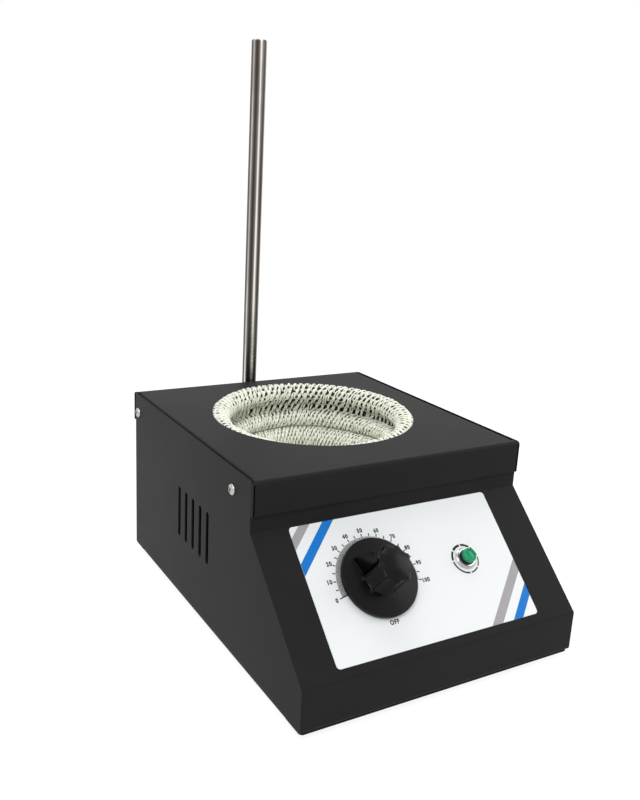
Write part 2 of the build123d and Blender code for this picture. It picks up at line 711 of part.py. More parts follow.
def terminal_block():
    """Three-way porcelain connector on the base plate."""
    block = Box(*block_size, align=(Align.CENTER, Align.CENTER, Align.MIN))
    block = fillet(block.edges().filter_by(Axis.Z), block_corner)
    pitch = block_size[0] / block_way_count
    for index in range(block_way_count):
        x = (index - (block_way_count - 1) / 2) * pitch
        way = Cylinder(way_radius, block_size[1], rotation=(90, 0, 0))
        block -= Pos(x, 0, way_level) * way
        for side in BOTH:
            block -= Pos(x, side * block_size[1] / 4) * rod(way_screw_radius, way_level, block_size[2])
    for x in block_screw_xs:
        block -= Pos(x - block_x, 0) * rod(base_screw_radius + hole_gap, 0, block_size[2])
        block -= Pos(x - block_x, 0) * rod(2 * base_screw_radius, block_size[2] / 2, block_size[2])
    return Pos(block_x, block_y, edge_z) * block


def earth_stud():
    """Brass stud through the base plate with a nut and a washer below its second nut."""
    nut = hexagon(nut_flats, nut_height, foot_screw_radius + thread_gap)
    stud = Rot(180, 0, 0) * pan_screw(foot_screw_radius, earth_length)
    washer = rod(2 * foot_screw_radius, 0, washer_height)
    washer -= rod(foot_screw_radius + thread_gap, 0, washer_height)
    level = edge_z + nut_height
    parts = [Pos(0, 0, foot_height) * stud, Pos(0, 0, edge_z) * nut,
             Pos(0, 0, level) * washer, Pos(0, 0, level + washer_height) * nut]
    return [Pos(earth_x, earth_y, 0) * part for part in parts]


def main():
    os.makedirs("parts", exist_ok=True)
    right = side_panel()
    write("top_cover", top_cover())
    write("side_panel_right", right)
    write("side_panel_left", mirror(right, about=Plane.YZ))
    write("front_panel", front_panel())
    write("back_panel", back_panel())
    write("base_plate", base_plate())
    write("knitted_rim", knitted_rim())
    write("knitted_bowl", knitted_bowl())
    write("heating_cord", *heating_cord())
    write("insulation", insulation())
    write("bowl_housing", bowl_housing())
    stud = rod(stud_radius, -stud_length, 0)
    nut = hexagon(nut_flats, nut_height, stud_radius + thread_gap)
    write("housing_studs", *at_lugs(stud, -cover_sheet))
    write("housing_nuts", *at_lugs(nut, -cover_sheet - housing_sheet - nut_height))
    write("control_label", control_label())
    write("knob", knob())
    write("regulator_body", regulator_body())
    write("regulator_shaft", at_knob(shaft_bar(0)))
    regulator_nut = hexagon(regulator_nut_flats, regulator_nut_height, bush_radius + thread_gap)
    write("regulator_nut", on_panel(knob_u, control_v, label_thickness) * regulator_nut)
    tabs = terminal_tabs(regulator_tab_count, regulator_tab_pitch, -sheet - regulator_depth)
    write("regulator_tabs", *(on_panel(knob_u, control_v) * tab for tab in tabs))
    write("lamp_bezel", lamp_bezel())
    write("lamp_body", lamp_body())
    write("lamp_lens", lamp_lens())
    lamp_nut = hexagon(lamp_nut_flats, nut_height, lamp_body_radius + thread_gap)
    write("lamp_nut", on_panel(lamp_u, control_v, -sheet - nut_height) * lamp_nut)
    tabs = [Rot(0, 0, 90) * tab for tab in terminal_tabs(lamp_tab_count, lamp_tab_pitch, -lamp_body_length)]
    write("lamp_tabs", *(on_panel(lamp_u, control_v) * tab for tab in tabs))
    write("support_rod", support_rod())
    write("rod_clamp", rod_clamp())
    write("clamp_thumb_screw", thumb_screw())
    write("clamp_screws", *back_screws(clamp_screw_places, foot_screw_radius, back_y + clamp_plate))
    write("clamp_nuts", *back_nuts(clamp_screw_places, foot_screw_radius, nut_flats))
    write("inlet_socket", inlet_socket())
    write("inlet_pins", *inlet_pins())
    write("inlet_screws", *back_screws(inlet_screw_places, base_screw_radius, back_y + inlet_flange[2]))
    write("inlet_nuts", *back_nuts(inlet_screw_places, base_screw_radius, small_nut_flats))
    write("cover_screws", *cover_screws())
    write("cover_nuts", *cover_nuts())
    write("feet", *feet())
    write("foot_screws", *upward_screws(foot_places, foot_screw_radius, foot_height / 2, foot_screw_length))
    nut = hexagon(nut_flats, nut_height, foot_screw_radius + thread_gap)
    write("foot_nuts", *upright(nut, foot_places, edge_z))
    write("base_screws", *upward_screws(base_screw_places, base_screw_radius, foot_height, base_screw_length))
    write("terminal_block", terminal_block())
    write("earth_stud", *earth_stud())


if __name__ == "__main__":
    main()
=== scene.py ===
"""Looks of a laboratory heating mantle: finishes, knitted bowl, printed dial, knob, lamp and studio.

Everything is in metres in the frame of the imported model. Panel places are (right, up the
slope, out of the face), measured from the knob's axis.
"""
import json
import math

import bmesh
import bpy
from bpy.props import FloatProperty, FloatVectorProperty, IntProperty, PointerProperty
from mathutils import Euler, Matrix, Vector


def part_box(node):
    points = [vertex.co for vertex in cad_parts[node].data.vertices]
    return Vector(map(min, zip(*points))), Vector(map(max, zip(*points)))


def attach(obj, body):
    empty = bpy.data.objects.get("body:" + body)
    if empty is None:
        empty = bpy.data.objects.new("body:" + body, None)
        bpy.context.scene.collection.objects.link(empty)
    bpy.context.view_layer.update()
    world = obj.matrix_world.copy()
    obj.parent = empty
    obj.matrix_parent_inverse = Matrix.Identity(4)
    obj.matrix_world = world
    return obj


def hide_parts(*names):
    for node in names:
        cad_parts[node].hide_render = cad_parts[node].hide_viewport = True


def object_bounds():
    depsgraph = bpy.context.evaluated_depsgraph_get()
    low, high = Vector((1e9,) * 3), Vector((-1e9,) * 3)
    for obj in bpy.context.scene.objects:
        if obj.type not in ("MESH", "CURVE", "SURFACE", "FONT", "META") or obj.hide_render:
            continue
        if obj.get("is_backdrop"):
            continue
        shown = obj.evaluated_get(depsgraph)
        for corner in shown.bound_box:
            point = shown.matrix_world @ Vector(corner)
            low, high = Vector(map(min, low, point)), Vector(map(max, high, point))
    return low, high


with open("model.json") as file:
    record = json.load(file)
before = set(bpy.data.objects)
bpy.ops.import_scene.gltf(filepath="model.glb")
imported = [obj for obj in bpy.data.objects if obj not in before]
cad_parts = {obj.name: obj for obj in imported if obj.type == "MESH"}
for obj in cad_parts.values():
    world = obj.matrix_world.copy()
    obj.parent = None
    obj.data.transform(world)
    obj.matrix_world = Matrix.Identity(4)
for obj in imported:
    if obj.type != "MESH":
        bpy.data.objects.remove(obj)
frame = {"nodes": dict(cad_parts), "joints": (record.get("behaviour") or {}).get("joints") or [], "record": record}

bl_info = {
    "name": "Heating mantle looks",
    "version": (1, 0, 0),
    "blender": (4, 5, 0),
    "location": "3D View > Sidebar > Mantle",
    "description": "Dresses the heating mantle's frame with its finishes, knit, print and studio",
    "category": "Object",
}

MM = 0.001
MODEL_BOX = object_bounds()
MOUNTS = {mount["name"]: mount for mount in frame["record"]["mounts"]}
JOINTS = {joint["name"]: joint for joint in frame["joints"]}
BOWL = Vector(MOUNTS["flask_seat"]["pos_m"])
BOWL_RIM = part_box("knitted_rim")[1].x


# ---- sizes and colours that a user would change
def length(name, description, millimetres):
    return FloatProperty(name=name, description=description, default=millimetres * MM,
                         unit="LENGTH", precision=5)


def count(name, description, default):
    return IntProperty(name=name, description=description, default=default, min=1)


def colour(name, description, *rgb):
    return FloatVectorProperty(name=name, description=description, default=rgb, size=3,
                               subtype="COLOR", min=0.0, max=1.0)


class MantleKnit(bpy.types.PropertyGroup):
    """Sizes of the knitted bowl."""

    wales: count("Wales", "Stitches in one round of the knit", 84)
    tight_wales: count("Tight wales", "Stitches in one round of the rolls", 106)
    low_wales: count("Low wales", "Stitches in a round near the bottom of the bowl", 76)
    course: length("Course", "Height of one round of stitches", 4.6)
    tight_course: length("Tight course", "Height of one round of the rolls' stitches", 3.6)
    yarn: length("Yarn", "Radius of the yarn", 0.68)
    loop: length("Loop", "Half height of a loop, which hooks over its neighbours", 3.2)
    tight_loop: length("Tight loop", "Half height of a loop of the rolls", 2.7)
    relief: length("Relief", "How far the legs of a loop stand in front of its head", 0.7)
    lean: length("Lean", "How much lower the rolls lie on one side of the bowl", 4.0)
    sag: length("Sag", "How far the rim sinks under the cover on one side", 6.4)
    roll_height: length("Roll height", "Rolls of the wall, to the middle of the yarn", 8.0)
    wall_inset: length("Wall inset", "Middle of the yarn in front of the wall", 1.0)


class MantleDial(bpy.types.PropertyGroup):
    """Sizes of the printed dial and the ring round the lamp."""

    hatch_in: length("Hatch inner radius", "Inner end of the fine ticks", 23.4)
    hatch_out: length("Hatch outer radius", "Outer end of the fine ticks", 29.0)
    hatch_width: length("Hatch width", "Width of a fine tick", 0.28)
    major_in: length("Tick inner radius", "Inner end of the ticks at fives and tens", 29.2)
    major_out: length("Tick outer radius", "Outer end of the ticks at fives and tens", 31.2)
    major_width: length("Tick width", "Width of the ticks at fives and tens", 0.70)
    number_radius: length("Number radius", "Middle of the numbers", 33.6)
    number_height: length("Number height", "Height of a figure", 3.05)
    off_drop: length("Off drop", "Middle of OFF below the knob's axis", 27.9)
    ring_radius: length("Lamp ring", "Outer radius of the dashes round the lamp", 10.4)
    ink: length("Ink", "Thickness of the printed ink", 0.04)


class MantleColours(bpy.types.PropertyGroup):
    """Main colours of the mantle."""

    coat: colour("Coat", "Powder coat of the cabinet", 0.0135, 0.0135, 0.0138)
    film: colour("Film", "White of the control label", 0.775, 0.80, 0.81)
    stripe_blue: colour("Blue stripe", "Blue stripes of the label", 0.0, 0.165, 0.56)
    stripe_grey: colour("Grey stripe", "Grey stripes of the label", 0.35, 0.335, 0.35)
    knob: colour("Knob", "Moulding of the knob", 0.0025, 0.0025, 0.0027)
    yarn: colour("Yarn", "Lit side of the glass yarn", 0.90, 0.91, 0.80)
    lens: colour("Lens", "Pilot lamp", 0.0, 0.36, 0.15)


def sizes(name):
    return getattr(bpy.context.scene, name)


# ---- nodes
class Value:
    """An output of a node. Arithmetic on it adds Math nodes to its tree."""

    def __init__(self, tree, socket):
        self.tree = tree
        self.socket = socket

    def math(self, operation, *values):
        return add(self.tree, "ShaderNodeMath", {"operation": operation}, dict(enumerate(values)))

    def __add__(self, other):
        return self.math("ADD", self, other)

    __radd__ = __add__

    def __sub__(self, other):
        return self.math("SUBTRACT", self, other)

    def __rsub__(self, other):
        return self.math("SUBTRACT", other, self)

    def __mul__(self, other):
        return self.math("MULTIPLY", self, other)

    __rmul__ = __mul__

    def __truediv__(self, other):
        return self.math("DIVIDE", self, other)

    def sqrt(self):
        return self.math("SQRT", self)

    def sin(self):
        return self.math("SINE", self)

    def cos(self):
        return self.math("COSINE", self)

    def between(self, low, high):
        """0 below low, 1 above high, smooth in between."""
        return add(self.tree, "ShaderNodeMapRange", {"interpolation_type": "SMOOTHSTEP"},
                   {"Value": self, "From Min": low, "From Max": high})


def add(tree, kind, settings=None, inputs=None, output=0):
    """Adds a node, sets its settings, then its inputs by name or number, and gives one output."""
    node = tree.nodes.new(kind)
    for name, value in (settings or {}).items():
        if name == "stops":
            set_stops(node.color_ramp, value)
        else:
            setattr(node, name, value)
    for name, value in (inputs or {}).items():
        plug(tree, value, node.inputs[name])
    return Value(tree, node.outputs[output])


def xyz(tree, x=0.0, y=0.0, z=0.0):
    """A vector from three values or numbers."""
    return add(tree, "ShaderNodeCombineXYZ", inputs={0: x, 1: y, 2: z})


def parts_of(tree, vector):
    """The x, y and z values of a vector value."""
    split = add(tree, "ShaderNodeSeparateXYZ", inputs={0: vector}).socket.node
    return [Value(tree, socket) for socket in split.outputs]


def plug(tree, value, socket):
    if isinstance(value, Value):
        tree.links.new(value.socket, socket)
    else:
        socket.default_value = value


def set_stops(ramp, stops):
    while len(ramp.elements) < len(stops):
        ramp.elements.new(1.0)
    for element, (place, shade) in zip(ramp.elements, stops):
        element.position = place
        element.color = (*shade, 1.0)


class Finish:
    """One material: its tree, the patterns that it uses and the shader at its end."""

    def __init__(self, name):
        packed = bpy.data.materials.get(name)
        if packed:
            packed.name = name + "_packed"
        self.material = bpy.data.materials.new(name)
        self.material.use_nodes = True
        self.tree = self.material.node_tree
        self.shader = self.tree.nodes["Principled BSDF"]

    def add(self, kind, settings=None, inputs=None, output=0):
        return add(self.tree, kind, settings, inputs, output)

    def place(self, scale=(1, 1, 1)):
        """Object coordinates, stretched by a scale for each axis."""
        where = self.add("ShaderNodeTexCoord", output="Object")
        if scale == (1, 1, 1):
            return where
        return self.add("ShaderNodeMapping", inputs={"Vector": where, "Scale": scale})

    def noise(self, size, detail=2.0, roughness=0.5, scale=(1, 1, 1)):
        """Noise of about that feature size in metres."""
        inputs = {"Vector": self.place(scale), "Scale": 1 / size, "Detail": detail, "Roughness": roughness}
        return self.add("ShaderNodeTexNoise", inputs=inputs)

    def attribute(self, name):
        return self.add("ShaderNodeAttribute", {"attribute_name": name}, output="Fac")

    def mix(self, factor, first, second):
        """A colour between two colours."""
        inputs = {"Factor": factor, 6: rgba(first), 7: rgba(second)}
        return self.add("ShaderNodeMix", {"data_type": "RGBA"}, inputs, output=2)

    def bump(self, height, depth, strength=1.0, edge=0.0):
        """A normal from a height of 0 to 1 that stands for a depth in metres, on rounded edges."""
        inputs = {"Strength": strength, "Distance": depth, "Height": height}
        if edge:
            inputs["Normal"] = self.add("ShaderNodeBevel", {"samples": 6}, {"Radius": edge})
        return self.add("ShaderNodeBump", inputs=inputs)

    def surface(self, base, roughness, normal=None, **constants):
        plug(self.tree, rgba(base), self.shader.inputs["Base Color"])
        plug(self.tree, roughness, self.shader.inputs["Roughness"])
        if normal is not None:
            plug(self.tree, normal, self.shader.inputs["Normal"])
        for name, value in constants.items():
            self.shader.inputs[name.replace("_", " ").title().replace("Ior", "IOR")].default_value = value
        return self.material


def rgba(value):
    return value if isinstance(value, Value) else (*value, 1.0)


def scaled(rgb, share):
    return tuple(channel * share for channel in rgb)


# ---- materials
def powder_coat():
    """Satin black powder coat: a fine grain over a soft orange peel."""
    coat = Finish("powder_coat")
    base = tuple(sizes("mantle_colours").coat)
    grain = coat.noise(0.45 * MM, detail=1.0)
    peel = coat.noise(2.6 * MM, detail=2.0)
    cloud = coat.noise(45 * MM, detail=3.0)
    tone = coat.mix(cloud, scaled(base, 0.86), scaled(base, 1.2))
    normal = coat.bump(grain * 0.55 + peel * 0.45, 0.05 * MM, 0.55, edge=0.7 * MM)
    return coat.surface(tone, 0.40 + 0.09 * cloud + 0.06 * grain, normal, specular_ior_level=0.07)


def speckled(name, base, shades, roughness, swing, grain, cloud, depth, strength=0.5, edge=0.0, gloss=0.5):
    """Film, ink or a moulding: broad clouds of two shades under a fine grain."""
    part = Finish(name)
    fine, broad = part.noise(grain), part.noise(cloud)
    tone = part.mix(broad, *(scaled(base, shade) for shade in shades))
    rough = roughness + swing[0] * (fine - 0.5) + swing[1] * (broad - 0.5)
    return part.surface(tone, rough, part.bump(fine, depth, strength, edge), specular_ior_level=gloss)


def moulding(name, base, roughness, grain, gloss=0.07):
    return speckled(name, base, (0.85, 1.2), roughness, (0.10, 0.06), grain, 18 * MM, 0.02 * MM,
                    edge=0.5 * MM, gloss=gloss)


def ink(name, base, roughness=0.42, gloss=0.2):
    return speckled(name, base, (0.9, 1.08), roughness, (0.1, 0.0), 0.25 * MM, 6 * MM, 0.008 * MM,
                    gloss=gloss)


RECESS_PAINTED_SHADE = (0.004, 0.004, 0.004)


def metal(name, base, roughness, stretch, line_depth=0.006):
    """Drawn, rolled or turned metal: fine lines along the axis whose stretch is small, and painted shade in the
    screws' cross recesses.
    """
    part = Finish(name)
    lines = part.noise(0.35 * MM, detail=3.0, scale=stretch)
    cloud = part.noise(9 * MM, detail=3.0)
    tone = part.mix(lines * 0.6 + cloud * 0.4, scaled(base, 0.72), scaled(base, 1.15))
    # painted shade: near black where a screw's recess attribute marks the cross
    tone = part.mix(part.attribute("recess").between(0.05, 0.5), tone, RECESS_PAINTED_SHADE)
    return part.surface(tone, roughness + 0.14 * (lines - 0.5) + 0.10 * (cloud - 0.5),
                        part.bump(lines, line_depth * MM, 0.6), metallic=1.0)


# Painted reflections on the rod: how many bands go round it, the angle of its painted highlight, and the colours
# that the bands and the grain map to.
ROD_PAINTED_REFLECTION_BANDS = 6
ROD_PAINTED_HIGHLIGHT_ANGLE = math.radians(262)
ROD_REFLECTION_AND_GRAIN_TONES = ((0.15, (0.052, 0.046, 0.040)), (0.50, (0.15, 0.125, 0.108)), (0.82, (0.30, 0.275, 0.255)),
             (0.95, (0.85, 0.83, 0.81)))


def ground_rod():
    """Ground steel bar: painted reflections, brown and bright streaks round it, in long drawn lines, and fine
    turning rings.
    """
    bar = Finish("stainless_rod")
    low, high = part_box("support_rod")
    x, y, _ = parts_of(bar.tree, bar.place())
    away = y - (low.y + high.y) / 2
    turn = away.math("ARCTAN2", away, x - (low.x + high.x) / 2) - ROD_PAINTED_HIGHLIGHT_ANGLE
    rings = bar.noise(0.5 * MM, detail=3.0, scale=(0.1, 0.1, 1.0))
    streaks = bar.noise(1.2 * MM, detail=3.0, scale=(1.0, 1.0, 0.008))
    cloud = bar.noise(30 * MM, detail=4.0)
    # painted reflection: light and dark bands fixed by the angle round the rod, brightest at the painted
    # highlight's angle
    painted_reflection = (turn * ROD_PAINTED_REFLECTION_BANDS).cos() * 0.42 + turn.cos() * 0.24 + 0.34
    level = painted_reflection + 0.24 * (streaks - 0.5) + 0.18 * (cloud - 0.5)
    tone = bar.add("ShaderNodeValToRGB", {"stops": ROD_REFLECTION_AND_GRAIN_TONES}, {"Fac": level})
    return bar.surface(tone, 0.20 + 0.08 * streaks + 0.06 * rings,
                       bar.bump(rings * 0.6 + streaks * 0.4, 0.008 * MM, 0.7), metallic=1.0)


YARN_PLIES, YARN_TWISTS = 4, 3.0
# Colour of the painted shade on the yarn deep in the knit
YARN_PAINTED_SHADE = (0.30, 0.31, 0.22)


def glass_yarn():
    """Glass yarn: twisted filaments along each strand, with painted shade, darker and greener, on the loops' heads
    and in the creases deep in the knit.
    """
    yarn = Finish("glass_yarn")
    base = tuple(sizes("mantle_colours").yarn)
    turn = yarn.attribute("round") * YARN_PLIES + yarn.attribute("along") * YARN_TWISTS
    twist = (turn * math.tau).sin() * 0.5 + 0.5
    fibre = yarn.noise(0.22 * MM, detail=3.0, roughness=0.6)
    patch = yarn.noise(5 * MM, detail=3.0)
    # painted light and shade: loops' legs in front are lit, loops' heads and the creases take the painted shade
    # colour, in random patches
    lit = (yarn.attribute("relief") * 0.6 + patch * 0.6 - yarn.attribute("crease") * 0.5).between(-0.1, 0.7)
    shade = yarn.mix(lit, YARN_PAINTED_SHADE, base)
    tone = yarn.mix(twist * fibre, shade, scaled(base, 1.12))
    height = twist * 0.55 + fibre * 0.45
    return yarn.surface(tone, 0.48 + 0.2 * fibre, yarn.bump(height, 0.16 * MM, 0.8),
                        sheen_weight=0.12, sheen_roughness=0.4)


def yarn_shadow():
    """The inner layer seen through the knit, in painted shade: near black behind the netting, pale lower down."""
    back = Finish("yarn_shadow")
    weave = back.noise(0.8 * MM, detail=3.0)
    patch = back.noise(7 * MM, detail=3.0)
    level = parts_of(back.tree, back.place())[2]
    # painted shade: near black down to 16 mm below the flask seat, paler towards 24 mm and below
    low = (BOWL.z - level).between(16 * MM, 24 * MM)
    tone = back.mix((weave * 0.6 + patch * 0.4).between(0.3, 0.75) * (0.12 + 0.88 * low),
                    (0.006, 0.006, 0.004), (0.66, 0.67, 0.52))
    return back.surface(tone, 0.9, back.bump(weave, 0.4 * MM, 0.8))


def loose_fibre(name, base, size):
    """Wool or sleeve: matted fibre with soft clumps."""
    part = Finish(name)
    fibre = part.noise(size, detail=5.0, roughness=0.7)
    clump = part.noise(12 * size, detail=3.0)
    tone = part.mix((fibre * 0.6 + clump * 0.4).between(0.3, 0.7), scaled(base, 0.62), base)
    return part.surface(tone, 0.92, part.bump(fibre * 0.6 + clump * 0.4, 0.4 * MM, 0.8))


def green_lens():
    """Clear green moulding with faint swirls."""
    lens = Finish("green_lens")
    base = tuple(sizes("mantle_colours").lens)
    swirl = lens.noise(1.1 * MM, detail=3.0)
    tone = lens.mix(swirl.between(0.35, 0.7), scaled(base, 0.55), base)
    return lens.surface(tone, 0.10 + 0.08 * swirl, lens.bump(swirl, 0.05 * MM, 0.6),
                        transmission_weight=0.12, ior=1.49, emission_color=(*base, 1.0),
                        emission_strength=0.10, coat_weight=0.12, coat_roughness=0.08,
                        specular_ior_level=0.25)


def porcelain():
    part = Finish("porcelain")
    speck = part.noise(0.6 * MM, detail=4.0)
    cloud = part.noise(14 * MM, detail=3.0)
    tone = part.mix(cloud * 0.7 + speck * 0.3, (0.74, 0.71, 0.64), (0.88, 0.86, 0.81))
    return part.surface(tone, 0.55 + 0.1 * speck, part.bump(speck, 0.05 * MM, 0.5))


def make_finishes():
    """Every material, by the name of its slot where the record has one."""
    colours = sizes("mantle_colours")
    powder_coat()
    speckled("label_film", tuple(colours.film), (0.965, 1.0), 0.38, (0.08, 0.0), 1.8 * MM, 60 * MM,
             0.012 * MM, strength=0.4)
    ground_rod()
    metal("aluminium_sheet", (0.74, 0.75, 0.76), 0.36, (1, 1, 0.05))
    metal("zinc_steel", (0.60, 0.60, 0.57), 0.36, (1, 1, 0.4))
    metal("nickel", (0.52, 0.51, 0.48), 0.20, (1, 1, 1))
    metal("chrome_ring", (0.50, 0.50, 0.51), 0.20, (1, 1, 0.2), 0.003)
    metal("brass_tab", (0.78, 0.60, 0.28), 0.32, (0.2, 1, 1))
    moulding("moulding_black", (0.020, 0.020, 0.021), 0.50, 0.5 * MM)
    moulding("knob_black", tuple(colours.knob), 0.25, 0.4 * MM, gloss=0.15)
    moulding("rubber_black", (0.024, 0.024, 0.023), 0.78, 0.7 * MM)
    loose_fibre("glass_sleeve", (0.74, 0.73, 0.64), 0.5 * MM)
    loose_fibre("glass_wool", (0.80, 0.77, 0.60), 0.9 * MM)
    glass_yarn()
    yarn_shadow()
    green_lens()
    porcelain()
    ink("ink_black", (0.003, 0.003, 0.0035))
    ink("seam_shadow", (0.0015, 0.0015, 0.0015), 0.8, 0.0)
    ink("ink_grey", tuple(colours.stripe_grey))
    ink("ink_blue", tuple(colours.stripe_blue))


# ---- meshes
LEAST_RADIUS = 0.3 * MM


def placed(name, data):
    """An object of the scene that holds this data."""
    holder = bpy.data.objects.new(name, data)
    bpy.context.scene.collection.objects.link(holder)
    return holder


def new_piece(name, mesh, body, slot, *replaced):
    """An object at the origin that rides on a body and may stand for CAD nodes."""
    piece = placed(name, mesh)
    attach(piece, body)
    if replaced:
        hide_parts(*replaced)
    return piece


def paint(mesh, name):
    mesh.materials.clear()
    mesh.materials.append(bpy.data.materials[name])
    return mesh


def mesh_of(source):
    """The finished mesh of an object with modifiers, or of a text. The object is deleted."""
    bpy.context.view_layer.update()
    shape = source.evaluated_get(bpy.context.evaluated_depsgraph_get())
    mesh = bpy.data.meshes.new_from_object(shape)
    bpy.data.objects.remove(source)
    return mesh


def smooth(mesh, angle):
    mesh.shade_smooth()
    mesh.set_sharp_from_angle(angle=angle)
    return mesh


def mesh_from(shape, name):
    mesh = bpy.data.meshes.new(name)
    shape.to_mesh(mesh)
    shape.free()
    return mesh


def merged_copy(node, gap=0.002 * MM):
    """A bmesh of a CAD node with its loose triangles joined."""
    shape = bmesh.new()
    shape.from_mesh(frame["nodes"][node].data)
    bmesh.ops.remove_doubles(shape, verts=shape.verts, dist=gap)
    return shape


def lathe(profile, steps):
    """A closed solid turned from (radius, height) points that start and end on the axis."""
    shape = bmesh.new()
    rings = []
    for radius, height in profile:
        turns = steps if radius > 0 else 1
        rings.append([shape.verts.new((radius * math.cos(math.tau * i / turns),
                                       radius * math.sin(math.tau * i / turns), height))
                      for i in range(turns)])
    for low, high in zip(rings, rings[1:]):
        for i in range(steps):
            j = (i + 1) % steps
            corners = [low[i % len(low)], low[j % len(low)], high[j % len(high)], high[i % len(high)]]
            shape.faces.new(list(dict.fromkeys(corners)))
    bmesh.ops.recalc_face_normals(shape, faces=shape.faces)
    return shape


def lathe_skin(points, thickness, steps):
    """A skin of that thickness behind a meridian that ends at the axis, closed all round."""
    back = []
    for index, (radius, height) in enumerate(points):
        before = points[max(index - 1, 0)]
        after = points[min(index + 1, len(points) - 1)]
        run, rise = after[0] - before[0], after[1] - before[1]
        size = math.hypot(run, rise)
        back.append((max(radius - rise / size * thickness, LEAST_RADIUS), height + run / size * thickness))
    foot = points[-1][1]
    return lathe([(0, foot)] + points[-2::-1] + back[:-1] + [(0, foot - thickness)], steps)


def prism(outline, thickness):
    """A thin solid with its foot on z = 0, from (x, y) corners in counter-clockwise order."""
    shape = bmesh.new()
    low = [shape.verts.new((x, y, 0)) for x, y in outline]
    high = [shape.verts.new((x, y, thickness)) for x, y in outline]
    shape.faces.new(list(reversed(low)))
    shape.faces.new(high)
    for i in range(len(outline)):
        j = (i + 1) % len(outline)
        shape.faces.new((low[i], low[j], high[j], high[i]))
    return shape


def join_shapes(shapes, name):
    """One mesh from several meshes."""
    whole = bmesh.new()
    for mesh in shapes:
        whole.from_mesh(mesh)
        bpy.data.meshes.remove(mesh)
    return mesh_from(whole, name)


# ---- places on the control panel
KNOB = Vector(JOINTS["knob_turn"]["pos_m"])
OUT = Vector(JOINTS["knob_turn"]["axis"]).normalized()
RIGHT = Vector((1, 0, 0))
PANEL = Matrix((RIGHT, OUT.cross(RIGHT), OUT)).transposed()


def in_panel(point):
    return PANEL.transposed() @ (Vector(point) - KNOB)


def panel_box(node):
    """Lowest and highest corner of a CAD node in panel places."""
    places = [in_panel(vertex.co) for vertex in frame["nodes"][node].data.vertices]
    low = Vector([min(place[axis] for place in places) for axis in range(3)])
    high = Vector([max(place[axis] for place in places) for axis in range(3)])
    return low, high


LABEL_LOW, LABEL_HIGH = panel_box("control_label")
LAMP = sum(panel_box("lamp_bezel"), Vector()) / 2


def on_panel(right, up, out):
    """Matrix that puts something flat on the panel at a panel place."""
    return Matrix.Translation(KNOB + PANEL @ Vector((right, up, out))) @ PANEL.to_4x4()


# ---- geometry node trees
def geo(tree, kind, output=0, **inputs):
    """A Geometry Nodes node, with its inputs by their lower-case names."""
    return add(tree, "GeometryNode" + kind, None,
               {name.replace("_", " ").title(): value for name, value in inputs.items()}, output)


SOCKETS = {int: "Int", float: "Float", type(None): "Object"}


def new_tree(name, **inputs):
    """A Geometry Nodes tree and the values of its named inputs, whose kinds come from their defaults."""
    tree = bpy.data.node_groups.new(name, "GeometryNodeTree")
    tree.interface.new_socket("Geometry", in_out="OUTPUT", socket_type="NodeSocketGeometry")
    for label, default in inputs.items():
        socket = tree.interface.new_socket(label, in_out="INPUT",
                                           socket_type="NodeSocket" + SOCKETS[type(default)])
        if default is not None:
            socket.default_value = default
    group = tree.nodes.new("NodeGroupInput")
    return tree, *(Value(tree, group.outputs[label]) for label in inputs)


def at_points(tree, points, shape, turn=(0, 0, 0)):
    """A shape at each point, turned by Euler angles."""
    turn = add(tree, "FunctionNodeEulerToRotation", inputs={0: turn})
    return geo(tree, "InstanceOnPoints", points=points, instance=shape, rotation=turn)


def object_shape(tree, holder):
    return geo(tree, "ObjectInfo", object=holder, output="Geometry")


def end_tree(tree, geometry, material):
    """Ends a tree in Realize Instances and Set Material."""
    real = geo(tree, "RealizeInstances", geometry=geometry)
    done = geo(tree, "SetMaterial", geometry=real, material=material)
    end = tree.nodes.new("NodeGroupOutput")
    tree.links.new(done.socket, end.inputs[0])
    return tree


def grown(tree, name, **values):
    """The plain mesh that a tree makes with these inputs."""
    carrier = placed(name, bpy.data.meshes.new(name))
    modifier = carrier.modifiers.new(name, "NODES")
    modifier.node_group = tree
    for item in tree.interface.items_tree:
        if item.in_out == "INPUT" and item.name.lower() in values:
            modifier[item.identifier] = values[item.name.lower()]
    return mesh_of(carrier)


def tick_tree(material):
    """Bars set radially round an arc, as on a dial."""
    tree, number, start, sweep, inner, outer, width, height = new_tree(
        "dial_ticks", Count=11, Start=0.0, Sweep=1.0, Inner=0.02, Outer=0.03, Width=0.4 * MM,
        Height=0.04 * MM)
    line = geo(tree, "MeshLine", count=number, offset=(0, 0, 0))
    index = geo(tree, "InputIndex")
    angle = start + sweep * index / number.math("MAXIMUM", number - 1, 1)
    middle = (inner + outer) * 0.5
    place = xyz(tree, middle * angle.cos(), middle * angle.sin(), height * 0.5)
    points = geo(tree, "SetPosition", geometry=line, position=place)
    bar = geo(tree, "MeshCube", size=xyz(tree, outer - inner, width, height))
    return end_tree(tree, at_points(tree, points, bar, xyz(tree, z=angle)), material)


# Ranges over which the knit changes: depths below the cover's top and distances from the bowl's middle.
# The crease ranges mark where the yarn gets painted shade and lies less thick.
CREASE_DEPTH = (60 * MM, 68.5 * MM)
CREASE_START = (4 * MM, 9 * MM)
THICK_YARN = (12 * MM, 19 * MM)
FOLDED = (6 * MM, 18 * MM)
RIM_BAND = (1.0 * MM, 6.5 * MM)
RIM_FOOT = 26 * MM
RIM_FADE = 18 * MM
HEM_TOP = 2.2 * MM
LOW_SIDE = math.radians(150)
SUNK_SIDE = math.radians(239)
LOOP_CURL = 0.12
LEG_SPREAD = 0.13
LOOP_SHEAR = 0.20
SIDE_JITTER = 0.75
COURSE_JITTER = 0.8
RELIEF_JITTER = 1.3


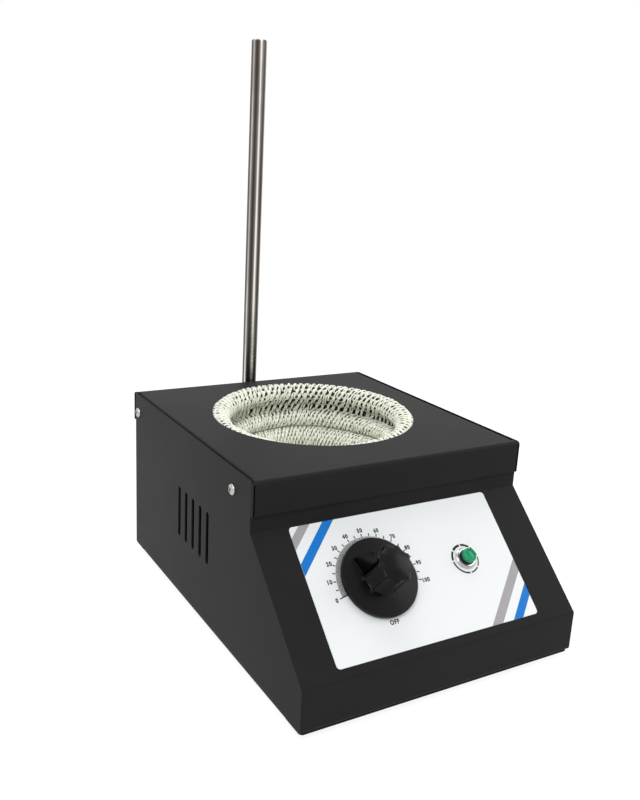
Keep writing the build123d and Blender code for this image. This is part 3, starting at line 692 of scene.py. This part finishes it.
def knit_tree(material):
    """Rounds of interlocking loops laid over a surface turned from a meridian curve."""
    (tree, meridian, wales, rounds, first, course, loop, relief, yarn, lean, sag, rim, steps,
     sides) = new_tree(
        "knit_rounds", Meridian=None, Wales=90, Rounds=10, First=0.0, Course=3.7 * MM, Loop=3.0 * MM,
        Relief=0.5 * MM, Yarn=0.7 * MM, Lean=0.0, Sag=0.0, Rim=0.07, Steps=12, Sides=5)
    line = geo(tree, "MeshLine", count=rounds, offset=(0, 0, 0))
    ring = geo(tree, "CurvePrimitiveCircle", resolution=wales * steps, radius=rim)
    rings = geo(tree, "RealizeInstances", geometry=at_points(tree, line, ring))
    point = geo(tree, "InputIndex")
    row = geo(tree, "CurveOfPoint", point_index=point, output="Curve Index")
    place = geo(tree, "CurveOfPoint", point_index=point, output="Index in Curve")
    stitch = place / steps
    phase = stitch * math.tau
    cross = (phase * 2).cos()
    stagger = row.math("MODULO", row, 2.0) * 0.5
    jitter = add(tree, "ShaderNodeTexNoise", {"noise_dimensions": "2D"},
                 {"Vector": xyz(tree, stitch * 1.3, row * 7.3), "Scale": 1.0, "Detail": 1.0},
                 output="Color")
    up, out, sideways = (axis - 0.5 for axis in parts_of(tree, jitter))
    curl = (phase * 2).sin() * LOOP_CURL + phase.sin() * LEG_SPREAD + phase.cos() * LOOP_SHEAR
    angle = (stitch + stagger + curl + sideways * SIDE_JITTER) / wales * math.tau
    along = first + course * (row + 0.5) + loop * phase.cos() + course * COURSE_JITTER * up
    sampled = add(tree, "GeometryNodeSampleCurve", {"mode": "LENGTH"},
                  {"Curves": object_shape(tree, meridian), "Length": along.math("MAXIMUM", along, 0.0)},
                  output="Position")
    tangent_x, _, tangent_z = parts_of(tree, Value(tree, sampled.socket.node.outputs["Tangent"]))
    base_r, _, base_z = parts_of(tree, sampled)
    down = base_z * -1.0
    lift = relief * (0 - cross) + relief * RELIEF_JITTER * out
    radius = base_r + lift * tangent_z
    centre = xyz(tree, radius * angle.cos(), radius * angle.sin(), base_z - lift * tangent_x)
    laid = geo(tree, "SetPosition", geometry=rings, position=centre)
    depth = (base_r * base_r + base_z * base_z).sqrt()
    crease = depth.between(*CREASE_DEPTH) * down.between(*CREASE_START)
    # the crease between rolls: where the yarn gets painted shade, and where the thick lower yarn stays thinner
    laid = store(tree, laid, "crease", crease)
    laid = settled(tree, laid, lean, sag)
    laid = store(tree, laid, "along", stitch)
    # relief also sets the painted shade on the loops' heads, behind their legs
    laid = store(tree, laid, "relief", cross * -0.5 + 0.5)
    thin = ((base_r / rim).between(0.12, 0.75) * 0.5 + 0.5) * (
        0.90 + down.between(*THICK_YARN) * (0.50 - 0.30 * crease))
    laid = geo(tree, "SetCurveRadius", curve=laid, radius=thin)
    strand = geo(tree, "CurvePrimitiveCircle", resolution=sides, radius=yarn)
    strand = store(tree, strand, "round", geo(tree, "InputIndex") / sides)
    mesh = geo(tree, "CurveToMesh", curve=laid, profile_curve=strand)
    mesh = geo(tree, "SetShadeSmooth", geometry=mesh)
    return end_tree(tree, mesh, material)


def settled(tree, geometry, lean, sag):
    """Lets the rolls hang lower on one side, and the rim sink under the cover on another."""
    x, y, z = parts_of(tree, geo(tree, "InputPosition"))
    reach = (x * x + y * y).sqrt()
    angle = y.math("ARCTAN2", y, x)
    folded = (z * -1.0).between(*FOLDED) * (reach / BOWL_RIM).between(0.1, 0.6)
    low = ((angle - LOW_SIDE).cos() * 0.5 + 0.5 + (angle * 2 + 1.0).sin() * 0.22
           + (angle * 5 + reach * 90).sin() * 0.12)
    rim = (BOWL_RIM - reach).between(*RIM_BAND) * (z + RIM_FOOT).between(0, RIM_FADE)
    side = (angle - SUNK_SIDE).cos() * 0.5 + 0.5
    side = side * side.sqrt()
    hem = (z + HEM_TOP).math("MAXIMUM", z + HEM_TOP, 0.0) * side.between(0.0, 0.8)
    down = lean * folded * low + sag * rim * side + hem * (1 - rim)
    return geo(tree, "SetPosition", geometry=geometry, offset=xyz(tree, z=down * -1.0))


def settle_tree(material):
    """A skin that hangs as the knit over it does."""
    tree, skin, lean, sag = new_tree("settled_skin", Skin=None, Lean=0.0, Sag=0.0)
    return end_tree(tree, settled(tree, object_shape(tree, skin), lean, sag), material)


def store(tree, geometry, name, value):
    return add(tree, "GeometryNodeStoreNamedAttribute", {"data_type": "FLOAT", "domain": "POINT"},
               {"Geometry": geometry, "Name": name, "Value": value})


def place_tree(material):
    """A shape set at given points, turned as each point's stored rotation says."""
    tree, shape, places = new_tree("set_at_places", Shape=None, Places=None)
    turn = add(tree, "GeometryNodeInputNamedAttribute", {"data_type": "FLOAT_VECTOR"}, {"Name": "turn"})
    screws = at_points(tree, object_shape(tree, places), object_shape(tree, shape), turn)
    return end_tree(tree, screws, material)


# ---- knitted bowl
# Rounds, points along a loop and sides of the yarn of each band.
RIM_ROUNDS, WALL_ROUNDS, FLOOR_ROUNDS = (8, 14, 6), (18, 12, 4), (19, 12, 4)
# The rim's outline in mm (outward, up) from the outer top corner of the rim, and where it folds back.
RIM_PROFILE = ((-0.4, -4.6), (-0.1, -2.4), (-0.6, -0.6), (-2.2, 0.5), (-4.6, 0.7), (-7.2, 0.1),
               (-9.7, -1.5), (-11.2, -3.9), (-11.7, -6.4), (-10.7, -8.8), (-8.9, -10.8), (-7.2, -12.8),
               (-6.2, -15.0), (-6.0, -17.4))
RIM_FOLD = 8
# Degrees below the level at which the wall's rolls meet, and the turns at which a roll has its points.
ROLL_EDGES = (13.0, 24.25, 39.0, 54.25, 70.0, 88.0)
ROLL_TURNS = (-90, -62, -36, -12, 12, 36, 62, 90)
ROLL_TUCK = 0.65
WALL_CLEARANCE = 3.0 * MM
MERIDIAN_END = 0.4 * MM
SKIN_INSET = 2.2 * MM
SKIN_THICKNESS = 0.5 * MM


def meridian_points(inset=0.0):
    """(radius, height) from the outside of the rim roll over it and down to the bowl's lowest point."""
    knit = sizes("mantle_knit")
    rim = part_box("knitted_rim")[1]
    wall = BOWL.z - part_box("knitted_bowl")[0].z - WALL_CLEARANCE - knit.wall_inset
    points = []
    for index, (reach, rise) in enumerate(RIM_PROFILE):
        top = index < RIM_FOLD - 2
        tuck = inset * (0.9 if index > RIM_FOLD else 0.5)
        points.append((rim.x + reach * MM + (0 if top else tuck),
                       rim.z - BOWL.z + rise * MM - (inset if top else 0)))
    for low, high in zip(ROLL_EDGES, ROLL_EDGES[1:]):
        for turn in ROLL_TURNS:
            angle = math.radians((low + high) / 2 + (high - low) / 2 * math.sin(math.radians(turn)))
            bulge = math.cos(math.radians(turn))
            radius = wall - knit.roll_height * bulge + inset * (1 - ROLL_TUCK * bulge)
            points.append((radius * math.cos(angle), -radius * math.sin(angle)))
    points.append((MERIDIAN_END, -wall - inset))
    return points


def meridian_curve():
    curve = bpy.data.curves.new("meridian", "CURVE")
    curve.dimensions = "3D"
    points = meridian_points()
    spline = curve.splines.new("NURBS")
    spline.points.add(len(points) - 1)
    for point, (radius, height) in zip(spline.points, points):
        point.co = (radius, 0, height, 1)
    spline.order_u = 3
    spline.use_endpoint_u = True
    spline.resolution_u = 6
    return placed("meridian", curve)


class MANTLE_OT_knit(bpy.types.Operator):
    """Knits the bowl and its rolled rim from rounds of loops over an inner layer in painted shade, darker under
    the netting.
    """

    bl_idname = "mantle.knit"
    bl_label = "Knitted bowl"

    def execute(self, context):
        knit = context.scene.mantle_knit
        holder = meridian_curve()
        tree = knit_tree(bpy.data.materials["glass_yarn"])
        wide, tight = (knit.course, knit.loop), (knit.tight_course, knit.tight_loop)
        bands = (("knitted_rim_loops", RIM_ROUNDS, wide, knit.wales, "knitted_rim"),
                 ("knitted_wall_loops", WALL_ROUNDS, tight, knit.tight_wales, "knitted_bowl"),
                 ("knitted_floor_loops", FLOOR_ROUNDS, tight, knit.low_wales))
        start = 0.0
        for name, (rounds, steps, sides), (course, loop), wales, *replaced in bands:
            mesh = grown(tree, name, meridian=holder, relief=knit.relief, yarn=knit.yarn, lean=knit.lean,
                         sag=knit.sag, rim=BOWL_RIM, rounds=rounds, first=start, course=course, loop=loop,
                         wales=wales, steps=steps, sides=sides)
            start += rounds * course
            mesh.transform(Matrix.Translation(BOWL))
            new_piece(name, mesh, "cabinet", "glass_yarn", *replaced)
        bpy.data.objects.remove(holder)
        layer = lathe_skin(meridian_points(inset=SKIN_INSET), SKIN_THICKNESS, 96)
        skin = placed("skin", mesh_from(layer, "skin"))
        mesh = grown(settle_tree(bpy.data.materials["yarn_shadow"]), "knitted_inner_layer", skin=skin,
                     lean=knit.lean, sag=knit.sag)
        bpy.data.objects.remove(skin)
        smooth(mesh, math.pi)
        mesh.transform(Matrix.Translation(BOWL))
        new_piece("knitted_inner_layer", mesh, "cabinet", "glass_yarn")
        return {"FINISHED"}


# ---- print
DIAL_LEVEL = -0.4 * MM
DIAL_ZERO = 192.0
DIAL_FULL = -12.0
# Start and end in degrees and width in mm of each dash of the lamp's ring.
LAMP_DASHES = ((90, 135, 1.7), (135, 180, 1.45), (180, 270, 1.1), (270, 315, 0.9), (315, 360, 0.8),
               (0, 45, 0.95), (45, 90, 1.5))
DASH_GAP = 1.15 * MM
# Both ends in mm of the upper left and of the lower right stripe, measured along the label's edges.
STRIPES = (("stripes_grey", "ink_grey", (7.2, 15.2), (30.2, 39.2)),
           ("stripes_blue", "ink_blue", (24.4, 32.5), (13.0, 21.2)))
FINE_TICKS, MAJOR_TICKS = 201, 21
HUNDRED_OUT = 0.9 * MM
LETTER_WIDTH = 0.88
LETTER_WEIGHT = 0.05
LETTER_SPACE = 1.22


class MANTLE_OT_print(bpy.types.Operator):
    """Prints the dial, OFF, the corner stripes and the ring round the lamp on the label."""

    bl_idname = "mantle.print"
    bl_label = "Label print"

    def execute(self, context):
        dial = context.scene.mantle_dial
        self.ticks(dial)
        self.numbers(dial)
        self.lamp_ring(dial)
        self.stripes(dial)
        return {"FINISHED"}

    def lay(self, name, mesh, up=0.0):
        mesh.transform(on_panel(0, up, LABEL_HIGH.z))
        new_piece(name, mesh, "cabinet", "label_film")

    def ticks(self, dial):
        tree = tick_tree(bpy.data.materials["ink_black"])
        start, sweep = math.radians(DIAL_ZERO), math.radians(DIAL_FULL - DIAL_ZERO)
        fine = grown(tree, "fine", count=FINE_TICKS, start=start, sweep=sweep, inner=dial.hatch_in,
                     outer=dial.hatch_out, width=dial.hatch_width, height=dial.ink)
        major = grown(tree, "major", count=MAJOR_TICKS, start=start, sweep=sweep, inner=dial.major_in,
                      outer=dial.major_out, width=dial.major_width, height=dial.ink)
        zero = grown(tree, "zero", count=1, start=start, sweep=0.0, inner=dial.hatch_in,
                     outer=dial.major_out, width=dial.major_width, height=dial.ink * 1.2)
        mesh = paint(join_shapes([fine, major, zero], "dial_ticks"), "ink_black")
        self.lay("dial_ticks", mesh, DIAL_LEVEL)

    def numbers(self, dial):
        words = []
        for value in range(0, 101, 10):
            angle = math.radians(DIAL_ZERO + (DIAL_FULL - DIAL_ZERO) * value / 100)
            reach = dial.number_radius + (HUNDRED_OUT if value == 100 else 0)
            words.append(lettering(str(value), dial, (reach * math.cos(angle), reach * math.sin(angle))))
        words.append(lettering("OFF", dial, (0.0, -dial.off_drop)))
        self.lay("dial_numbers", paint(join_shapes(words, "dial_numbers"), "ink_black"), DIAL_LEVEL)

    def lamp_ring(self, dial):
        clear = math.degrees(DASH_GAP / 2 / dial.ring_radius)
        arcs = [arc_dash(dial.ring_radius, start + clear, end - clear, width * MM, dial.ink)
                for start, end, width in LAMP_DASHES]
        mesh = join_shapes([mesh_from(arc, "dash") for arc in arcs], "lamp_ring")
        paint(mesh, "ink_black")
        mesh.transform(Matrix.Translation((LAMP.x, LAMP.y, 0)))
        self.lay("lamp_ring", mesh)

    def stripes(self, dial):
        left, right = LABEL_LOW.x, LABEL_HIGH.x
        low, high = LABEL_LOW.y, LABEL_HIGH.y
        for name, material, upper, lower in STRIPES:
            near, far = (edge * MM for edge in upper)
            top = [(left, high - near), (left, high - far), (left + far, high), (left + near, high)]
            near, far = (edge * MM for edge in lower)
            bottom = [(right, low + near), (right, low + far), (right - far, low), (right - near, low)]
            shapes = [mesh_from(prism(corners, dial.ink), name) for corners in (top, bottom)]
            self.lay(name, paint(join_shapes(shapes, name), material))


def arc_dash(radius, start, end, width, thickness):
    """A flat piece of ring, inside a radius."""
    steps = max(4, round((end - start) / 3))
    angles = [math.radians(start + (end - start) * i / steps) for i in range(steps + 1)]
    outer = [(radius * math.cos(a), radius * math.sin(a)) for a in angles]
    inner = [((radius - width) * math.cos(a), (radius - width) * math.sin(a)) for a in reversed(angles)]
    return prism(outer + inner, thickness)


def lettering(words, dial, place):
    """Printed figures or letters, centred on a panel place and as tall as the dial's numbers."""
    curve = bpy.data.curves.new(words, "FONT")
    curve.body = words
    curve.align_x = curve.align_y = "CENTER"
    curve.resolution_u = 4
    curve.offset = LETTER_WEIGHT
    curve.space_character = LETTER_SPACE
    mesh = mesh_of(placed(words, curve))
    across = [vertex.co.x for vertex in mesh.vertices]
    upward = [vertex.co.y for vertex in mesh.vertices]
    size = dial.number_height / (max(upward) - min(upward))
    centre = Vector((max(across) + min(across), max(upward) + min(upward), 0)) / 2
    mesh.transform(Matrix.Diagonal((size * LETTER_WIDTH, size, size, 1)) @ Matrix.Translation(-centre))
    shape = bmesh.new()
    shape.from_mesh(mesh)
    bpy.data.meshes.remove(mesh)
    bmesh.ops.remove_doubles(shape, verts=shape.verts, dist=0.001 * MM)
    bmesh.ops.recalc_face_normals(shape, faces=shape.faces)
    raised = bmesh.ops.extrude_face_region(shape, geom=shape.faces[:], use_keep_orig=True)
    corners = [part for part in raised["geom"] if isinstance(part, bmesh.types.BMVert)]
    bmesh.ops.translate(shape, verts=corners, vec=(0, 0, dial.ink))
    bmesh.ops.recalc_face_normals(shape, faces=shape.faces)
    mesh = mesh_from(shape, "words")
    mesh.transform(Matrix.Translation((*place, 0)))
    return mesh


# ---- knob
MOULDING_ANGLE = math.radians(24)


class MANTLE_OT_knob(bpy.types.Operator):
    """Joins the knob's faces into one smooth moulding."""

    bl_idname = "mantle.knob"
    bl_label = "Knob"

    def execute(self, context):
        mesh = smooth(paint(mesh_from(merged_copy("knob"), "knob_moulding"), "knob_black"), MOULDING_ANGLE)
        new_piece("knob_moulding", mesh, "knob_and_shaft", "knob_black", "knob")
        return {"FINISHED"}


# ---- pilot lamp
LENS_FACETS = 8
# Shares of the lens's radius and mm below its top, from the edge inwards.
LENS_PROFILE = ((1.0, 0.9), (0.94, 0.35), (0.84, 0.1), (0.76, 0.25), (0.70, 0.75), (0.55, 0.55),
                (0.30, 0.05), (0.0, 0.0))
FACETS_FROM, CROWN_FROM = 0.62, 0.4


class MANTLE_OT_lamp(bpy.types.Operator):
    """Moulds the lamp's green lens with its raised edge and facets."""

    bl_idname = "mantle.lamp"
    bl_label = "Pilot lamp"

    def execute(self, context):
        low, high = panel_box("lamp_lens")
        radius = (high.x - low.x) / 2
        profile = [(0, low.z), (radius, low.z)] + [(radius * share, high.z - drop * MM)
                                                   for share, drop in LENS_PROFILE]
        shape = lathe(profile, 48)
        turn_facets(shape, radius, LENS_FACETS)
        mesh = smooth(paint(mesh_from(shape, "lamp_lens_moulding"), "green_lens"), MOULDING_ANGLE)
        mesh.transform(on_panel(LAMP.x, LAMP.y, 0))
        new_piece("lamp_lens_moulding", mesh, "cabinet", "green_lens", "lamp_lens")
        return {"FINISHED"}


def turn_facets(shape, radius, facets):
    """Pulls the inner rings of a lens in between its facets' corners."""
    pitch = math.tau / facets
    for vertex in shape.verts:
        reach = math.hypot(vertex.co.x, vertex.co.y)
        if 0 < reach < FACETS_FROM * radius:
            angle = math.atan2(vertex.co.y, vertex.co.x) + (pitch / 2 if reach < CROWN_FROM * radius else 0)
            pull = math.cos(pitch / 2) / math.cos(angle % pitch - pitch / 2)
            vertex.co.x *= pull
            vertex.co.y *= pull


# ---- painted seam shadows
SEAM_WIDTH, SEAM_LIFT, SEAM_FROM_EDGE = 0.8 * MM, 0.03 * MM, 0.7 * MM
SEAM_TOP_END, SEAM_FOOT, SEAM_HEAD = 1.5 * MM, 0.5 * MM, 2.0 * MM


class MANTLE_OT_seams(bpy.types.Operator):
    """Lays painted shadow: black strips in the joints between the folded cover and the side panels."""

    bl_idname = "mantle.seams"
    bl_label = "Seams"

    def execute(self, context):
        low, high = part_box("top_cover")
        on_top = Matrix.Translation((0, 0, high.z))
        on_front = Matrix.Translation((0, low.y, 0)) @ Matrix.Rotation(math.pi / 2, 4, "X")
        strips = []
        for side in (-1, 1):
            edge = side * (high.x - SEAM_FROM_EDGE)
            inner = edge - side * SEAM_WIDTH
            for turn, foot, head in ((on_top, low.y + SEAM_TOP_END, high.y - SEAM_TOP_END),
                                     (on_front, low.z + SEAM_FOOT, high.z - SEAM_HEAD)):
                shape = prism([(edge, foot), (inner, foot), (inner, head), (edge, head)], SEAM_LIFT)
                bmesh.ops.recalc_face_normals(shape, faces=shape.faces)
                strips.append(mesh_from(shape, "strip"))
                strips[-1].transform(turn)
        # black strips of painted shadow along the cover's edges, on its top and on its front
        mesh = paint(join_shapes(strips, "seam_lines"), "seam_shadow")
        new_piece("seam_lines", mesh, "cabinet", "powder_coat")
        return {"FINISHED"}


# ---- screws
# Radians by which the screws' crosses are turned, and the axis of each kind of screw.
FIRST_TURN, NEXT_TURN = 0.5, 1.3
SCREWS = {"cover_screws": "x", "clamp_screws": "y", "inlet_screws": "y", "base_screws": "z"}


class MANTLE_OT_screws(bpy.types.Operator):
    """Gives the pan-head screws their cross recess, with painted shade in it."""

    bl_idname = "mantle.screws"
    bl_label = "Screws"

    def execute(self, context):
        tree = place_tree(bpy.data.materials["nickel"])
        for node, axis in SCREWS.items():
            places = islands(node)
            holder = places_object(places, "xyz".index(axis))
            spans = sorted(places[0][1] - places[0][0])
            shape = placed("screw", pan_screw(spans[0] / 2, spans[2]))
            mesh = grown(tree, node + "_cross", shape=shape, places=holder)
            smooth(mesh, math.radians(30))
            new_piece(node + "_cross", mesh, "cabinet", "nickel", node)
            bpy.data.objects.remove(shape)
            bpy.data.objects.remove(holder)
        return {"FINISHED"}


def islands(node):
    """(lowest, highest corner) of each separate solid of a CAD node."""
    shape = merged_copy(node)
    found = []
    waiting = set(shape.verts)
    while waiting:
        group, edge = [], [waiting.pop()]
        while edge:
            vertex = edge.pop()
            group.append(vertex.co.copy())
            for link in vertex.link_edges:
                other = link.other_vert(vertex)
                if other in waiting:
                    waiting.discard(other)
                    edge.append(other)
        found.append((Vector([min(p[i] for p in group) for i in range(3)]),
                      Vector([max(p[i] for p in group) for i in range(3)])))
    shape.free()
    return sorted(found, key=lambda box: tuple(box[0]))


def places_object(places, axis):
    """Points at the crowns of screws along an axis, with the turn of each screw."""
    mesh = bpy.data.meshes.new("places")
    middle = sum((low + high for low, high in places), Vector()) / (2 * len(places))
    outward = []
    for low, high in places:
        point = (low + high) / 2
        side = 1 if (point[axis] > middle[axis] + 1 * MM or axis == 1) else -1
        point[axis] = high[axis] if side > 0 else low[axis]
        outward.append((point, side))
    mesh.from_pydata([tuple(point) for point, side in outward], [], [])
    turns = mesh.attributes.new("turn", "FLOAT_VECTOR", "POINT")
    for index, (point, side) in enumerate(outward):
        away = Vector([side if i == axis else 0 for i in range(3)])
        turn = away.to_track_quat("Z", "Y") @ Euler((0, 0, FIRST_TURN + NEXT_TURN * index)).to_quaternion()
        turns.data[index].vector = turn.to_euler()
    return placed("places", mesh)


# A screw's sizes are shares of its head's radius; those of the crown and the cross are of its head's height.
HEAD_HEIGHT = 0.58
SHANK, SHANK_TIP, TIP_CHAMFER = 0.526, 0.5, 0.1
CROWN = 0.78
CROSS_REACH, CROSS_WIDTH, CROSS_DEPTH, CROSS_TAPER = 0.66, 0.15, 0.75, 0.45
RECESS_FROM, RECESS_TO, RECESS_REACH = 0.95, 0.4, 0.75


def pan_screw(radius, length):
    """A pan-head screw with its crown at the origin and its shank below, cut with a cross whose recess is marked
    for painted shade.
    """
    tall = HEAD_HEIGHT * radius
    profile = [(0, -length), (SHANK_TIP * radius, -length),
               (SHANK * radius, -length + TIP_CHAMFER * radius), (SHANK * radius, -tall), (radius, -tall),
               (radius, -CROWN * tall)]
    profile += [(radius * math.cos(a), CROWN * tall * (math.sin(a) - 1)) for a in (0.3, 0.6, 0.9, 1.2, 1.4)]
    body = placed("screw_body", mesh_from(lathe(profile + [(0, 0)], 32), "screw_body"))
    cutter = bmesh.new()
    for turn in (0, math.pi / 2):
        for vertex in bmesh.ops.create_cube(cutter, size=1.0)["verts"]:
            upper = vertex.co.z > 0
            x = vertex.co.x * 2 * CROSS_REACH * radius * (1.0 if upper else CROSS_TAPER)
            y = vertex.co.y * 2 * CROSS_WIDTH * radius
            z = tall if upper else -CROSS_DEPTH * tall
            vertex.co = Matrix.Rotation(turn, 3, "Z") @ Vector((x, y, z))
    tool = placed("screw_cross", mesh_from(cutter, "screw_cross"))
    cut = body.modifiers.new("cross", "BOOLEAN")
    cut.operation = "DIFFERENCE"
    cut.solver = "EXACT"
    cut.use_self = True
    cut.object = tool
    mesh = mesh_of(body)
    bpy.data.objects.remove(tool)
    # marks the cross recess for painted shade
    recess = mesh.attributes.new("recess", "FLOAT", "POINT")
    for vertex, mark in zip(mesh.vertices, recess.data):
        sunk = -RECESS_FROM * tall < vertex.co.z < -RECESS_TO * tall
        mark.value = float(sunk and math.hypot(vertex.co.x, vertex.co.y) < RECESS_REACH * radius)
    return mesh


# ---- finishes on the CAD nodes
class MANTLE_OT_finishes(bpy.types.Operator):
    """Gives every CAD node the finish of its material."""

    bl_idname = "mantle.finishes"
    bl_label = "Finishes"

    def execute(self, context):
        make_finishes()
        for part in frame["record"]["subparts"]:
            paint(frame["nodes"][part["node"]].data, part["material_slot"])
        return {"FINISHED"}


# ---- studio
CAMERA_PLACE = (-0.3231, -0.5194, 0.3237)
CAMERA_AZIMUTH = math.radians(-30.89)
CAMERA_ELEVATION = math.radians(15.67)
CAMERA_ROLL = math.radians(3.06)
CAMERA_LENS = 39.51
LAMP_AIM = Vector((0, 0, 0.1))
# Name, place, size in metres and power in watts of each lamp.
LAMPS = (("key", (-0.9, -0.9, 1.5), 0.9, 15.0), ("fill", (1.3, -0.6, 0.9), 1.1, 6.0),
         ("top", (0.1, 0.5, 1.7), 1.0, 8.0))
FLOOR_REACH, FLOOR_THICKNESS = 3.0, 0.5 * MM


def background_rays(tree):
    """1 for rays that show the white surroundings: from the camera, a gloss or a clear part."""
    path = tree.nodes.new("ShaderNodeLightPath")
    seen, gloss, clear = (Value(tree, path.outputs[name]) for name in
                          ("Is Camera Ray", "Is Glossy Ray", "Is Transmission Ray"))
    return seen.math("MAXIMUM", seen, gloss.math("MAXIMUM", gloss, clear))


class MANTLE_OT_stage(bpy.types.Operator):
    """Sets the pale floor, the white surroundings, the soft lamps and the camera."""

    bl_idname = "mantle.stage"
    bl_label = "Stage"

    def execute(self, context):
        self.floor()
        self.surroundings()
        self.lamps()
        self.camera()
        context.scene.view_settings.view_transform = "Standard"
        return {"FINISHED"}

    def floor(self):
        profile = [(0, -FLOOR_THICKNESS), (FLOOR_REACH, -FLOOR_THICKNESS), (FLOOR_REACH, 0.0), (0, 0.0)]
        mesh = mesh_from(lathe(profile, 96), "studio_floor")
        floor = placed("studio_floor", mesh)
        sheet = Finish("studio_floor")
        grain = sheet.noise(3 * MM, detail=2.0)
        material = sheet.surface(sheet.mix(grain, (0.90, 0.90, 0.90), (0.93, 0.93, 0.93)), 0.9)
        white = sheet.add("ShaderNodeEmission", inputs={"Color": (1, 1, 1, 1), "Strength": 1.12})
        lit = Value(sheet.tree, sheet.shader.outputs[0])
        mixed = sheet.add("ShaderNodeMixShader",
                          inputs={0: background_rays(sheet.tree) * 0.80, 1: lit, 2: white})
        end = sheet.tree.nodes["Material Output"]
        sheet.tree.links.new(mixed.socket, end.inputs["Surface"])
        mesh.materials.append(material)
        floor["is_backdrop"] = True

    def surroundings(self):
        world = bpy.data.worlds.new("studio")
        bpy.context.scene.world = world
        world.use_nodes = True
        tree = world.node_tree
        back = tree.nodes["Background"]
        plug(tree, (1, 1, 1, 1), back.inputs["Color"])
        plug(tree, 0.55 + 0.45 * background_rays(tree), back.inputs["Strength"])

    def lamps(self):
        for name, place, size, power in LAMPS:
            data = bpy.data.lights.new(name, "AREA")
            data.size = size
            data.energy = power
            lamp = placed(name, data)
            lamp.location = place
            lamp.rotation_euler = (LAMP_AIM - Vector(place)).to_track_quat("-Z", "Y").to_euler()

    def camera(self):
        data = bpy.data.cameras.new("camera")
        data.lens = CAMERA_LENS
        data.sensor_width = 36.0
        data.clip_start = 0.02
        camera = placed("camera", data)
        camera.matrix_world = (Matrix.Translation(CAMERA_PLACE) @ Matrix.Rotation(CAMERA_AZIMUTH, 4, "Z")
                               @ Matrix.Rotation(math.pi / 2 - CAMERA_ELEVATION, 4, "X")
                               @ Matrix.Rotation(CAMERA_ROLL, 4, "Z"))
        bpy.context.scene.camera = camera


# ---- sidebar and registration
STEPS = (MANTLE_OT_finishes, MANTLE_OT_knit, MANTLE_OT_print, MANTLE_OT_knob, MANTLE_OT_lamp,
         MANTLE_OT_seams, MANTLE_OT_screws, MANTLE_OT_stage)
GROUPS = {"mantle_knit": MantleKnit, "mantle_dial": MantleDial, "mantle_colours": MantleColours}


class MANTLE_PT_steps(bpy.types.Panel):
    """Lists the steps that dress the mantle, and their sizes."""

    bl_idname = "MANTLE_PT_steps"
    bl_label = "Heating mantle"
    bl_space_type = "VIEW_3D"
    bl_region_type = "UI"
    bl_category = "Mantle"

    def draw(self, context):
        for step in STEPS:
            self.layout.operator(step.bl_idname)
        for name, group in GROUPS.items():
            box = self.layout.box()
            for field in group.__annotations__:
                box.prop(getattr(context.scene, name), field)


def register():
    for group in GROUPS.values():
        bpy.utils.register_class(group)
    for name, group in GROUPS.items():
        setattr(bpy.types.Scene, name, PointerProperty(type=group))
    for item in (*STEPS, MANTLE_PT_steps):
        bpy.utils.register_class(item)


def unregister():
    for item in (MANTLE_PT_steps, *reversed(STEPS)):
        bpy.utils.unregister_class(item)
    for name, group in reversed(list(GROUPS.items())):
        delattr(bpy.types.Scene, name)
        bpy.utils.unregister_class(group)


def main():
    register()
    bpy.ops.mantle.finishes()
    bpy.ops.mantle.knit()
    bpy.ops.mantle.print()
    bpy.ops.mantle.knob()
    bpy.ops.mantle.lamp()
    bpy.ops.mantle.seams()
    bpy.ops.mantle.screws()
    bpy.ops.mantle.stage()
    boxes = {"cad": MODEL_BOX, "visual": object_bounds()}
    {name: [list(corner) for corner in box] for name, box in boxes.items()}


if __name__ == "__main__":
    main()
